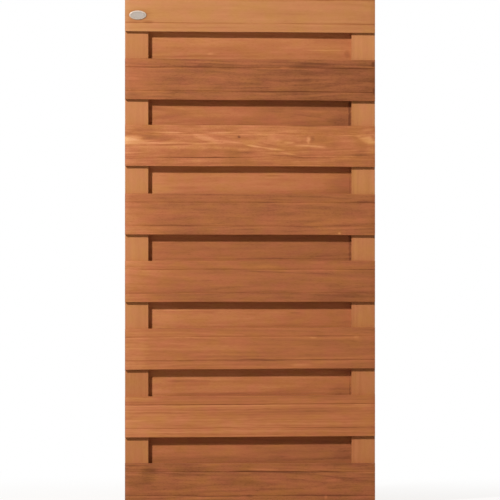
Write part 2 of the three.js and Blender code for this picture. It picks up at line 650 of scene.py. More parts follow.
@dataclass(frozen=True)
class GrowthRings:
    """The rings of a log whose pith runs beside the timber, which shows them as lines, arches and end grain.

    Attributes:
        drift: The noise that bends the rings.
        count_drift: How far it moves them out of their order, in rings.
        darkening: From where to where in a ring the late wood darkens.
        ending: The share of a ring over which its late wood ends.
        faintest: The strength of the faintest ring.
        cover: The noise that hides the rings here and there.
        cover_rise: From where to where in that noise they come out.
    """

    drift: Layer = Layer(2.6, 8.0, detail=4.0, rough=0.6)
    count_drift: float = 1.5
    darkening: tuple[float, float] = (0.3, 0.8)
    ending: float = 0.2
    faintest: float = 0.25
    cover: Layer = Layer(3.5, 30.0, detail=1.0)
    cover_rise: tuple[float, float] = (0.35, 0.6)

    @cache
    def group(self) -> bpy.types.NodeTree:
        """Makes the effect's group.

        Returns:
            The group. Its outputs are the late wood's lines and a tone for each whole ring.
        """
        effect = Effect(
            "growth_rings",
            vectors=("Place",),
            numbers=("Pith Depth", "Pith Height", "Depth Tilt", "Height Tilt", "Ring Width", "Warp", "Seed"),
            outputs=("Line", "Ring Tone"),
        )
        given = effect.given
        drift = effect.noise(given["Place"], self.drift, given["Seed"])
        warp_x, warp_y, warp_z = effect.parts(drift.outputs["Color"])
        x, y, z = effect.parts(given["Place"])
        depth = effect.total(
            effect.math("SUBTRACT", given["Pith Depth"], y),
            effect.math("MULTIPLY", given["Depth Tilt"], x),
            effect.swing(warp_y, given["Warp"]),
        )
        height = effect.total(
            effect.math("SUBTRACT", z, given["Pith Height"]),
            effect.math("MULTIPLY", given["Height Tilt"], x),
            effect.swing(warp_z, given["Warp"]),
        )
        radius = effect.hypotenuse(depth, height)
        even = effect.math("DIVIDE", radius, given["Ring Width"])
        count = effect.math("ADD", even, effect.swing(warp_x, self.count_drift))
        ring = effect.math("FLOOR", count)
        share = effect.math("FRACT", count)
        fall = effect.rise(effect.math("SUBTRACT", 1.0, share), 0.0, self.ending)
        late = effect.math("MULTIPLY", effect.rise(share, *self.darkening), fall)
        chance = effect.node("TexWhiteNoise", noise_dimensions="2D")
        effect.join(effect.combined(ring, given["Seed"], 0.0), chance.inputs["Vector"])
        strength = effect.math("MULTIPLY_ADD", chance.outputs["Value"], 1.0 - self.faintest, self.faintest)
        other = effect.parts(chance.outputs["Color"])[Y]
        cover = effect.noise(given["Place"], self.cover, given["Seed"])
        shown = effect.rise(cover.outputs["Fac"], *self.cover_rise)
        line = effect.math("MULTIPLY", effect.math("MULTIPLY", late, strength), shown)
        return effect.finish(Line=line, Ring_Tone=effect.centred(other))


@dataclass(frozen=True)
class Fibres:
    """Soft clouds, streaks along the grain at three widths, and short dark pores, all dots on the end grain.

    Attributes:
        sway: The noise that bends the fibres.
        sway_reach: How far it bends them at the most.
        streaks: The clouds and the streaks, by the names of their outputs.
        pores: The noise whose peaks are the pores.
        pore_rise: From where to where in it a pore darkens.
    """

    sway: Layer = Layer(3.0, 5.0, detail=1.0)
    sway_reach: float = 16.0 * MM
    streaks: tuple[tuple[str, Layer], ...] = (
        ("Cloud", Layer(7.0, 20.0)),
        ("Broad", Layer(2.0, 36.0)),
        ("Medium", Layer(4.5, 120.0)),
        ("Fine", Layer(16.0, 480.0, rough=0.6)),
    )
    pores: Layer = Layer(70.0, 1500.0, detail=0.0)
    pore_rise: tuple[float, float] = (0.6, 0.72)

    @cache
    def group(self) -> bpy.types.NodeTree:
        """Makes the effect's group.

        Returns:
            The group. Its outputs are the clouds and streaks, which run about 0, and a mask of the pores.
        """
        names = [name for name, _ in self.streaks]
        effect = Effect("fibres", vectors=("Place",), numbers=("Seed",), outputs=(*names, "Pores"))
        given = effect.given
        sway = effect.noise(given["Place"], self.sway, given["Seed"])
        aside = effect.vector("MULTIPLY", sway.outputs["Color"], (0.0, self.sway_reach, self.sway_reach))
        bent = effect.vector("ADD", given["Place"], aside)
        noises = [effect.noise(bent, layer, given["Seed"]) for _, layer in self.streaks]
        pore = effect.noise(bent, self.pores, given["Seed"])
        streaks = {name: effect.centred(noise.outputs["Fac"]) for name, noise in zip(names, noises)}
        return effect.finish(**streaks, Pores=effect.rise(pore.outputs["Fac"], *self.pore_rise))


@dataclass(frozen=True)
class Wander:
    """How far the fibres stray from a straight line, which gives the marks their ragged outlines.

    Attributes:
        slow: The noise that moves a mark across the grain.
        slow_reach: How far it moves it.
        quick: The noise that frays a mark's ends.
        quick_reach: How far it frays them, as a share of the mark's length.
    """

    slow: Layer = Layer(8.0, 14.0)
    slow_reach: float = 8.0 * MM
    quick: Layer = Layer(16.0, 190.0, detail=1.0)
    quick_reach: float = 0.7

    @cache
    def group(self) -> bpy.types.NodeTree:
        """Makes the effect's group.

        Returns:
            The group. Along is a share of a mark's length, and Across is a length.
        """
        effect = Effect("wander", vectors=("Place",), numbers=("Seed",), outputs=("Along", "Across"))
        given = effect.given
        slow = effect.noise(given["Place"], self.slow, given["Seed"])
        quick = effect.noise(given["Place"], self.quick, given["Seed"])
        return effect.finish(
            Along=effect.swing(quick.outputs["Fac"], self.quick_reach),
            Across=effect.swing(slow.outputs["Fac"], self.slow_reach),
        )


@dataclass(frozen=True)
class Streak:
    """The shape of one mark, half as strong at its outline as in its middle.

    Attributes:
        outline: From where to where it fades, as a share of its length and its width from its middle.
    """

    outline: tuple[float, float] = (0.2, 0.8)

    @cache
    def group(self) -> bpy.types.NodeTree:
        """Makes the effect's group.

        Returns:
            The group. Its output is the mark's mask.
        """
        effect = Effect(
            "streak",
            vectors=("Place", "Middle"),
            numbers=("Length", "Width", "Slope", "Along", "Across"),
            outputs=("Mask",),
        )
        given = effect.given
        x, _, z = effect.parts(effect.vector("SUBTRACT", given["Place"], given["Middle"]))
        level = effect.math("SUBTRACT", z, effect.math("MULTIPLY", x, given["Slope"]))
        across = effect.math("ADD", level, given["Across"])
        along = effect.math("ADD", effect.math("DIVIDE", x, given["Length"]), given["Along"])
        aside = effect.math("DIVIDE", across, given["Width"])
        return effect.finish(Mask=effect.fade(effect.hypotenuse(along, aside), *self.outline))


# The tone along a timber is partly painted light: most timbers are paler at their left end, and the stiles
# towards the top, where the light falls stronger.
@cache
def tone_along() -> bpy.types.NodeTree:
    """Makes the group for the slow change of tone from one end of a timber to the other.

    Returns:
        The group. Its output is the tone.
    """
    effect = Effect(
        "tone_along",
        vectors=("Place",),
        numbers=("Half Length", "Start", "Middle", "End", "Start Reach", "End Reach"),
        outputs=("Tone",),
    )
    given = effect.given
    x = effect.parts(given["Place"])[X]
    half = given["Half Length"]
    from_start = effect.math("ADD", x, half)
    to_end = effect.math("SUBTRACT", half, x)
    early = effect.fade(from_start, 0.0, given["Start Reach"])
    late = effect.fade(to_end, 0.0, given["End Reach"])
    tone = effect.total(
        given["Middle"],
        effect.math("MULTIPLY", effect.math("SUBTRACT", given["Start"], given["Middle"]), early),
        effect.math("MULTIPLY", effect.math("SUBTRACT", given["End"], given["Middle"]), late),
    )
    return effect.finish(Tone=tone)


@dataclass(frozen=True)
class WorkedEdges:
    """What the workshop did to a timber: its rounded long edges, sawn ends and grooves.

    Attributes:
        arris: From where to where the mask of a long edge fades, counted from the sharp edge it had.
        end: From where to where the mask of the end grain fades, counted from the end.
        groove: From where to where the mask of a groove fades, counted from its middle.
        groove_reach: How deep under the grooved side that mask goes.
    """

    arris: tuple[float, float] = (0.8 * MM, 3.5 * MM)
    end: tuple[float, float] = (0.1 * MM, 0.7 * MM)
    groove: tuple[float, float] = (0.2 * MM, 2.2 * MM)
    groove_reach: float = 2.0 * MM

    @cache
    def group(self) -> bpy.types.NodeTree:
        """Makes the effect's group.

        Returns:
            The group. Its outputs are the three masks.
        """
        effect = Effect(
            "worked_edges",
            vectors=("Place", "Half Size"),
            numbers=("Groove Middle", "Groove Side"),
            outputs=("Arris", "End Grain", "Groove"),
        )
        given = effect.given
        size = effect.parts(given["Half Size"])
        away = effect.parts(effect.vector("ABSOLUTE", given["Place"]))
        gaps = [effect.math("SUBTRACT", half, offset) for half, offset in zip(size, away)]
        arris = effect.fade(effect.math("ADD", gaps[Y], gaps[Z]), *self.arris)
        end = effect.fade(gaps[X], *self.end)
        from_groove = effect.math("ABSOLUTE", effect.math("SUBTRACT", away[Z], given["Groove Middle"]))
        near = effect.fade(from_groove, *self.groove)
        y = effect.parts(given["Place"])[Y]
        side = effect.math("MULTIPLY", y, given["Groove Side"])
        on_side = effect.math("GREATER_THAN", side, effect.math("SUBTRACT", size[Y], self.groove_reach))
        return effect.finish(Arris=arris, End_Grain=end, Groove=effect.math("MULTIPLY", near, on_side))


@dataclass(frozen=True)
class Stain:
    """The one stain that every timber of the screen has.

    Attributes:
        colours: Its base colours from the darkest to the palest tone.
        patch: The noise that makes it pinker and yellower from place to place.
        patch_rise: From where to where in that noise a patch comes out.
        pinker: What the pinkest patch multiplies the colour by.
        yellower: What the yellowest patch multiplies it by.
    """

    colours: tuple[tuple[float, float, float], ...] = (
        (0.148, 0.039, 0.0090),
        (0.271, 0.085, 0.0258),
        (0.374, 0.122, 0.0385),
        (0.492, 0.191, 0.0675),
        (0.581, 0.255, 0.1050),
        (0.709, 0.373, 0.1800),
    )
    patch: Layer = Layer(15.0, 26.0)
    patch_rise: tuple[float, float] = (0.45, 0.75)
    pinker: tuple[float, float, float, float] = (1.07, 0.93, 1.22, 1.0)
    yellower: tuple[float, float, float, float] = (0.955, 1.07, 0.7, 1.0)

    @cache
    def group(self) -> bpy.types.NodeTree:
        """Makes the group that turns a tone into a colour.

        Returns:
            The group. Cast is the wood's own colour under the stain, and Tint is the strength of the patches.
        """
        effect = Effect(
            "stain", vectors=("Place", "Cast"), numbers=("Seed", "Tone", "Tint"), outputs=("Wood Colour",)
        )
        given = effect.given
        ramp = effect.node("ValToRGB")
        steps = ramp.color_ramp.elements
        last = len(self.colours) - 1
        while len(steps) < len(self.colours):
            steps.new(0.5)
        for number, (step, colour) in enumerate(zip(steps, self.colours)):
            step.position = number / last
            step.color = (*colour, 1.0)
        effect.join(given["Tone"], ramp.inputs["Fac"])
        cloud = effect.noise(given["Place"], self.patch, given["Seed"]).outputs["Fac"]
        pink = effect.rise(cloud, *self.patch_rise)
        yellow = effect.rise(effect.math("SUBTRACT", 1.0, cloud), *self.patch_rise)
        patches = effect.mixed(yellow, effect.mixed(pink, WHITE, self.pinker), self.yellower)
        tint = effect.mixed(given["Tint"], WHITE, patches)
        glaze = effect.vector("MULTIPLY", tint, given["Cast"])
        tinted = effect.mixed(1.0, ramp.outputs["Color"], glaze, blend="MULTIPLY")
        return effect.finish(Wood_Colour=tinted)


@dataclass(frozen=True)
class Mark:
    """A long mark in one timber.

    Attributes:
        x: Its middle along the timber, from the timber's middle.
        z: Its middle across the timber, from the timber's middle.
        length: Its length.
        width: Its width.
        tone: How much paler it is, or darker where negative.
        slope: How much it climbs along the timber.
    """

    x: float
    z: float
    length: float
    width: float
    tone: float
    slope: float = 0.0


def marks(*rows: tuple[float, ...]) -> tuple[Mark, ...]:
    """Makes marks from rows that are short to write.

    Args:
        rows: A mark's x, z, length and width in millimetres, its tone in hundredths, and its slope if any.

    Returns:
        The marks.
    """
    return tuple(Mark(*(value * MM for value in row[:4]), row[4] / 100, *row[5:]) for row in rows)


@dataclass(frozen=True)
class Timber:
    """How one board or stile looks: the part of the log that it was cut from, and its marks.

    Attributes:
        tones: Tone at its start, middle and end, from 0, darkest, to 1, palest. They are partly the wood's own
            tone and partly painted light: most timbers are paler at their left end, and the stiles towards the
            top, where the light falls stronger.
        seed: Makes one timber's noise unlike another's.
        reach: How far the start's and the end's tone reach.
        ring_width: Growth of the log in a year.
        pith: How far the log's pith lies behind the middle of the timber, and above it.
        tilt: How fast the pith moves away along the timber, in depth and in height.
        warp: How far the rings wander.
        lines: How dark the late wood is.
        rings: How much whole rings differ.
        contrast: How strongly all its grain shows.
        shortness: How short its streaks are.
        cast: The wood's own colour under the stain, multiplied with it.
        tint: How much pinker and yellower its patches are, up to 1.
        lie: How far its left and its right end lie above their place.
        marks: Its long marks, on the side that looks to the front. Some of them are painted shade and painted
            light, as noted where the timbers are listed.
    """

    tones: tuple[float, float, float]
    seed: float
    reach: tuple[float, float] = (0.25, 0.5)
    ring_width: float = 7 * MM
    pith: tuple[float, float] = (0.07, 0.0)
    tilt: tuple[float, float] = (0.02, 0.0)
    warp: float = 10 * MM
    lines: float = 0.16
    rings: float = 0.1
    contrast: float = 0.8
    shortness: float = 1.0
    cast: tuple[float, float, float] = (1.0, 1.0, 1.0)
    tint: float = 0.5
    lie: tuple[float, float] = (0.0, 0.0)
    marks: tuple[Mark, ...] = ()


@dataclass(frozen=True)
class WoodFinish:
    """Satin stain on planed hardwood.

    Attributes:
        rings: The growth rings.
        fibres: The clouds, streaks and pores.
        edges: The masks of the worked edges.
        wander: How the marks stray.
        streak: The shape of a mark.
        stain: The stain's colours.
        fibre_tones: How much paler, or darker where negative, each layer of the fibres makes the wood.
        edge_tones: How much paler or darker the long edges and the sawn ends are.
        groove_tone: Painted shade and painted light in a groove: how much the broad streaks change its tone,
            and how much paler all of it is.
        roughness: The satin's roughness.
        dulling: How much rougher the fibres, pores and sawn ends are.
        specular: The shader's specular level.
        relief: The height of the deepest pores and grooves between fibres.
        relief_strength: How strongly the relief shows.
        heights: How high the fibres, the late wood and the pores stand, as a share of the relief.
        marks_end: From where to where under the front side the marks fade.
    """

    rings: GrowthRings = GrowthRings()
    fibres: Fibres = Fibres()
    edges: WorkedEdges = WorkedEdges()
    wander: Wander = Wander()
    streak: Streak = Streak()
    stain: Stain = Stain()
    fibre_tones: tuple[tuple[str, float], ...] = (
        ("Cloud", 0.3), ("Broad", 0.4), ("Medium", 0.3), ("Fine", 0.2), ("Pores", -0.14)
    )
    edge_tones: tuple[tuple[str, float], ...] = (("Arris", 0.05), ("End Grain", -0.22))
    groove_tone: tuple[float, float] = (1.2, -0.03)
    roughness: float = 0.52
    dulling: tuple[tuple[str, float], ...] = (("Medium", 0.12), ("Pores", 0.15), ("End Grain", 0.2))
    specular: float = 0.22
    relief: float = 0.35 * MM
    relief_strength: float = 0.5
    heights: tuple[tuple[str, float], ...] = (("Fine", 0.5), ("Medium", 0.4), ("Line", 0.25), ("Pores", -0.6))
    marks_end: tuple[float, float] = (2.0 * MM, 8.0 * MM)

    def material(
        self,
        name: str,
        timber: Timber,
        middle: Vector,
        size: Vector,
        upright: bool = False,
        groove: float = 0.0,
        side: Side | None = None,
    ) -> bpy.types.Material:
        """Makes the material of one timber.

        Args:
            name: The material's name.
            timber: How this timber looks.
            middle: The middle of the timber.
            size: Its length along the grain, thickness and width.
            upright: True where the grain runs along Z and not along X.
            groove: From the timber's middle line to its grooves.
            side: The side that its grooves look to, if it has any.

        Returns:
            The material.
        """
        material, wiring, shader = new_material(name)
        shader.inputs["Specular IOR Level"].default_value = self.specular
        place = self.place(wiring, timber, middle, size, upright)
        rings = wiring.placed(
            self.rings.group(),
            Place=place,
            Pith_Depth=timber.pith[0],
            Pith_Height=timber.pith[1],
            Depth_Tilt=timber.tilt[0],
            Height_Tilt=timber.tilt[1],
            Ring_Width=timber.ring_width,
            Warp=timber.warp,
            Seed=timber.seed,
        )
        grained = wiring.vector("MULTIPLY", place, (timber.shortness, 1.0, 1.0))
        fibres = wiring.placed(self.fibres.group(), Place=grained, Seed=timber.seed)
        base = wiring.placed(
            tone_along(),
            Place=place,
            Half_Length=size.x / 2,
            Start=timber.tones[0],
            Middle=timber.tones[1],
            End=timber.tones[2],
            Start_Reach=timber.reach[0],
            End_Reach=timber.reach[1],
        )
        edges = wiring.placed(
            self.edges.group(),
            Place=place,
            Half_Size=size / 2,
            Groove_Middle=groove,
            Groove_Side=float(side.value) if side else 0.0,
        )
        looks = {socket.name: socket for node in (rings, fibres, edges) for socket in node.outputs}
        grain = (("Line", -timber.lines), ("Ring Tone", timber.rings), *self.fibre_tones)
        figure = wiring.total(*wiring.weighted(looks, grain))
        tone = wiring.total(
            base.outputs["Tone"],
            wiring.math("MULTIPLY", figure, timber.contrast),
            *wiring.weighted(looks, self.edge_tones),
        )
        # Painted shade and painted light in the grooves: the broad streaks make a groove darker or paler, so
        # that its own shading comes and goes along it.
        if side:
            stained_and_shaded = wiring.math("MULTIPLY_ADD", looks["Broad"], *self.groove_tone)
            tone = wiring.math("ADD", tone, wiring.math("MULTIPLY", looks["Groove"], stained_and_shaded))
        if timber.marks:
            tone = wiring.math("ADD", tone, self.marked(wiring, place, size.y / 2, timber))
        colour = wiring.placed(
            self.stain.group(), Place=place, Seed=timber.seed, Tone=tone, Cast=timber.cast, Tint=timber.tint
        )
        wiring.join(colour.outputs["Wood Colour"], shader.inputs["Base Color"])
        dull = wiring.total(self.roughness, *wiring.weighted(looks, self.dulling))
        wiring.join(dull, shader.inputs["Roughness"])
        height = wiring.total(*wiring.weighted(looks, self.heights))
        wiring.relief(shader, height, self.relief, self.relief_strength)
        return material

    @staticmethod
    def place(wiring: Wiring, timber: Timber, middle: Vector, size: Vector, upright: bool) -> Feed:
        """Finds where a point is in its timber, so that the grain follows the timber's own lie.

        Args:
            wiring: The material's wiring.
            timber: The timber.
            middle: The middle of the timber.
            size: Its length along the grain, thickness and width.
            upright: True where the grain runs along Z and not along X.

        Returns:
            Coordinates from the timber's middle.
        """
        coordinates = wiring.node("TexCoord")
        mapping = wiring.node("Mapping", vector_type="TEXTURE")
        mapping.inputs["Location"].default_value = middle
        if upright:
            mapping.inputs["Rotation"].default_value = (0.0, -math.pi / 2, 0.0)
        wiring.join(coordinates.outputs["Object"], mapping.inputs["Vector"])
        place = mapping.outputs["Vector"]
        left, right = timber.lie
        if left or right:
            x = wiring.parts(place)[X]
            rise = wiring.math("MULTIPLY_ADD", x, (right - left) / size.x, (left + right) / 2)
            place = wiring.vector("SUBTRACT", place, wiring.combined(0.0, 0.0, rise))
        return place

    def marked(self, wiring: Wiring, place: Feed, face: float, timber: Timber) -> bpy.types.NodeSocket:
        """Adds a timber's marks up, on the side that looks to the front.

        Args:
            wiring: The material's wiring.
            place: Coordinates from the timber's middle.
            face: From the timber's middle to that side.
            timber: The timber.

        Returns:
            How much paler or darker the marks make it.
        """
        stray = wiring.placed(self.wander.group(), Place=place, Seed=timber.seed)
        shades = []
        for mark in timber.marks:
            shape = wiring.placed(
                self.streak.group(),
                Place=place,
                Middle=(mark.x, 0.0, mark.z),
                Length=mark.length,
                Width=mark.width,
                Slope=mark.slope,
                Along=stray.outputs["Along"],
                Across=stray.outputs["Across"],
            )
            shades.append(wiring.math("MULTIPLY", shape.outputs["Mask"], mark.tone))
        start, end = self.marks_end
        in_front = wiring.fade(wiring.parts(place)[Y], start - face, end - face)
        return wiring.math("MULTIPLY", wiring.total(*shades), in_front)


def new_material(name: str) -> tuple[bpy.types.Material, Wiring, bpy.types.Node]:
    """Makes a material with nothing but its shader.

    Args:
        name: The material's name.

    Returns:
        The material, its wiring and its Principled BSDF.
    """
    material = bpy.data.materials.new(name)
    material.use_nodes = True
    wiring = Wiring(material.node_tree)
    return material, wiring, material.node_tree.nodes["Principled BSDF"]


# ---- Metal ----


@dataclass(frozen=True)
class MetalFinish:
    """A metal with a fine brushed or cast surface.

    Attributes:
        name: The material's name.
        bright: Its colour where it is polished by handling.
        dull: Its colour in hollows.
        roughness: Its mean roughness.
        speckle: Specks per metre.
        metallic: The shader's metallic value.
        hollow: Where its hollows start and are deepest, along Y, if it has any.
        hollow_loss: How much of the polish is missing where a hollow is deepest.
        cloud_size: How many specks wide a cloud of wear is.
        cloud_share: How much of the wear follows the clouds. The rest follows the specks.
        seeds: The seeds of the clouds and of the specks.
        wear: From where to where in them the metal turns from dull to bright.
        roughness_span: How much the roughness changes from speck to speck.
        relief: The height of the specks.
        relief_strength: How strongly their relief shows.
    """

    name: str
    bright: tuple[float, float, float]
    dull: tuple[float, float, float]
    roughness: float
    speckle: float
    metallic: float = 1.0
    hollow: tuple[float, float] | None = None
    hollow_loss: float = 0.8
    cloud_size: float = 6.0
    cloud_share: float = 0.7
    seeds: tuple[float, float] = (2.0, 5.0)
    wear: tuple[float, float] = (0.35, 0.65)
    roughness_span: float = 0.25
    relief: float = 0.05 * MM
    relief_strength: float = 0.25

    def material(self) -> bpy.types.Material:
        """Makes the metal's material.

        Returns:
            The material.
        """
        material, wiring, shader = new_material(self.name)
        shader.inputs["Metallic"].default_value = self.metallic
        place = wiring.node("TexCoord").outputs["Object"]
        clouds = self.speckle / self.cloud_size
        cloud_seed, speck_seed = self.seeds
        cloud = wiring.noise(place, Layer(clouds, clouds, detail=3.0), cloud_seed).outputs["Fac"]
        speck = wiring.noise(place, Layer(self.speckle, self.speckle), speck_seed).outputs["Fac"]
        share = wiring.total(
            wiring.math("MULTIPLY", cloud, self.cloud_share),
            wiring.math("MULTIPLY", speck, 1.0 - self.cloud_share),
        )
        worn = wiring.rise(share, *self.wear)
        if self.hollow:
            sunk = wiring.rise(wiring.parts(place)[Y], *self.hollow)
            kept = wiring.math("MULTIPLY_ADD", sunk, -self.hollow_loss, 1.0)
            worn = wiring.math("MULTIPLY", worn, kept)
        colour = wiring.mixed(worn, (*self.dull, 1.0), (*self.bright, 1.0))
        wiring.join(colour, shader.inputs["Base Color"])
        rough = wiring.math("ADD", self.roughness, wiring.swing(speck, self.roughness_span))
        wiring.join(rough, shader.inputs["Roughness"])
        wiring.relief(shader, speck, self.relief, self.relief_strength)
        return material


# ---- Screws ----


@dataclass
class Screws:
    """The countersunk stainless screws, with the bores that they need in the timbers.

    Attributes:
        shank: Diameter of the shank.
        head: Diameter of the head.
        rim: Height of the head's straight edge.
        rim_ease: How much the rim's edges are eased.
        point: Length of the point.
        tip: Width of the point's end, as a share of the shank's.
        clearance: How much wider all round, and longer, a bore is than its screw.
        bore_over: How far a bore's cutter reaches above the screw's head, out of the wood.
        drive: Width of the six-lobed drive over its lobes.
        drive_depth: Its depth.
        drive_valley: The width between its lobes, as a share of the width over them.
        lobes: Their number.
        lobe_round: How much the lobes and valleys are rounded.
        lobe_facets: The facets of that rounding.
        sides: Facets around a screw.
        turn_step: How much further each screw is turned than the one before it.
        finish: Their metal.
    """

    shank: float = 5.0 * MM
    head: float = 9.6 * MM
    rim: float = 0.6 * MM
    rim_ease: float = 0.15 * MM
    point: float = 8.0 * MM
    tip: float = 0.04
    clearance: float = 0.3 * MM
    bore_over: float = 1.4 * MM
    drive: float = 4.6 * MM
    drive_depth: float = 1.8 * MM
    drive_valley: float = 0.68
    lobes: int = 6
    lobe_round: float = 0.45 * MM
    lobe_facets: int = 3
    sides: int = 48
    turn_step: float = math.radians(37.0)
    finish: MetalFinish = MetalFinish(
        "brushed_stainless",
        bright=(0.62, 0.60, 0.57),
        dull=(0.38, 0.36, 0.34),
        roughness=0.34,
        speckle=4000.0,
    )

    def __post_init__(self) -> None:
        """Reads each screw's place from the frame."""
        self.boxes = {name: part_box(name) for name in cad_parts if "screw_" in name}

    def turned(
        self, name: str, radius: float, head: float, rim: float, length: float, over: float = 0.0
    ) -> bpy.types.Object:
        """Models a countersunk shape that points along -Y, with the top of its head at the origin.

        Args:
            name: The object's name.
            radius: Of the shank.
            head: Radius of the head.
            rim: Height of the head's straight edge.
            length: From the top of the head to the point.
            over: How far the shape goes on above the head.

        Returns:
            The object.
        """
        cone = head - radius
        barrel = length - self.point - rim - cone
        deselect_all()
        bpy.ops.mesh.primitive_cylinder_add(
            vertices=self.sides,
            radius=radius,
            depth=barrel,
            location=(0.0, -rim - cone - barrel / 2, 0.0),
            rotation=(math.pi / 2, 0.0, 0.0),
        )
        shape = started(name)
        axis = Vector()
        with editing(shape):
            pick(shape, Element.FACE, lambda face: face.normal.y > FACING)
            grow(Vector((0.0, cone, 0.0)), head / radius, axis)
            grow(Vector((0.0, rim + over, 0.0)), 1.0, axis)
            pick(shape, Element.FACE, lambda face: face.normal.y < -FACING)
            grow(Vector((0.0, -self.point, 0.0)), self.tip, axis)
        return shape

    def star(self) -> bpy.types.Object:
        """Models the cutter of the six-lobed drive.

        Returns:
            The cutter, opening through the head's top at the origin.
        """
        deselect_all()
        bpy.ops.mesh.primitive_cylinder_add(
            vertices=2 * self.lobes,
            radius=self.drive / 2,
            depth=2 * self.drive_depth,
            rotation=(math.pi / 2, 0.0, 0.0),
        )
        cutter = started("drive_cutter")

        def in_valley(vert: bmesh.types.BMVert) -> bool:
            """Says whether a corner is an inner one. Every other corner is."""
            corner = math.atan2(vert.co.z, vert.co.x) / math.pi * self.lobes
            return round(corner) % 2 == 1

        with editing(cutter):
            pick(cutter, Element.VERT, in_valley)
            bpy.ops.transform.resize(
                value=(self.drive_valley, 1.0, self.drive_valley), center_override=(0.0, 0.0, 0.0)
            )
            pick(cutter, Element.EDGE, lambda edge: span(edge, Y) > self.drive_depth)
            bevel(self.lobe_round, self.lobe_facets)
        return cutter

    def pattern(self, length: float) -> bpy.types.Object:
        """Models one screw.

        Args:
            length: From the top of its head to its point.

        Returns:
            The screw, pointing along -Y with the top of its head at the origin.
        """
        screw = self.turned("screw_pattern", self.shank / 2, self.head / 2, self.rim, length)

        def on_rim(edge: bmesh.types.BMEdge) -> bool:
            """Says whether an edge runs round the head, over or under its straight edge."""
            ends = [vert.co for vert in edge.verts]
            outside = all(end.y > -self.rim - NEAR and end.xz.length > FACING * self.head / 2 for end in ends)
            return outside and span(edge, Y) < NEAR

        with editing(screw):
            pick(screw, Element.EDGE, on_rim)
            bevel(self.rim_ease, EASE_FACETS)
        cutter = self.star()
        applied(screw, "BOOLEAN", object=cutter, operation="DIFFERENCE", solver="EXACT")
        discard(cutter)
        cleaned(screw, METAL_SMOOTH)
        return screw

    def head_place(self, name: str) -> Vector:
        """The middle of a screw's head, on its top.

        Args:
            name: The screw's node.

        Returns:
            The place.
        """
        low, high = self.boxes[name]
        return Vector(((low.x + high.x) / 2, high.y, (low.z + high.z) / 2))

    def length(self, name: str) -> float:
        """The length of a screw.

        Args:
            name: The screw's node.

        Returns:
            From the top of its head to its point.
        """
        low, high = self.boxes[name]
        return high.y - low.y

    def bore_out(self, timber: bpy.types.Object, node: str) -> None:
        """Bores the holes that a timber needs for its screws, with their countersinks.

        Args:
            timber: The board or stile.
            node: Its node.
        """
        low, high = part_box(node)
        cutters = []
        for name in self.boxes:
            place = self.head_place(name)
            inside = low.x < place.x < high.x and low.z < place.z < high.z
            if not inside or place.y < low.y:
                continue
            cutter = self.turned(
                "bore_cutter",
                self.shank / 2 + self.clearance,
                self.head / 2 + self.clearance,
                self.rim + self.clearance,
                self.length(name) + self.clearance,
                self.bore_over,
            )
            cutter.data.transform(Matrix.Translation(place))
            cutters.append(cutter)
        if not cutters:
            return
        activate(cutters[0])
        for cutter in cutters[1:]:
            cutter.select_set(True)
        if len(cutters) > 1:
            bpy.ops.object.join()
        applied(timber, "BOOLEAN", object=cutters[0], operation="DIFFERENCE", solver="EXACT")
        discard(cutters[0])

    def build(self) -> None:
        """Models one screw of each length and copies it to every place."""
        steel = self.finish.material()
        patterns: dict[float, bpy.types.Object] = {}
        for number, name in enumerate(self.boxes):
            length = round(self.length(name), LENGTH_DIGITS)
            if length not in patterns:
                patterns[length] = self.pattern(length)
            turn = Matrix.Rotation(number * self.turn_step, 4, "Y")
            place = Matrix.Translation(self.head_place(name)) @ turn
            screw = copied(patterns[length], f"{name}_steel", place)
            fitted(screw, name, steel)
        discard(*patterns.values())


# ---- Boards ----


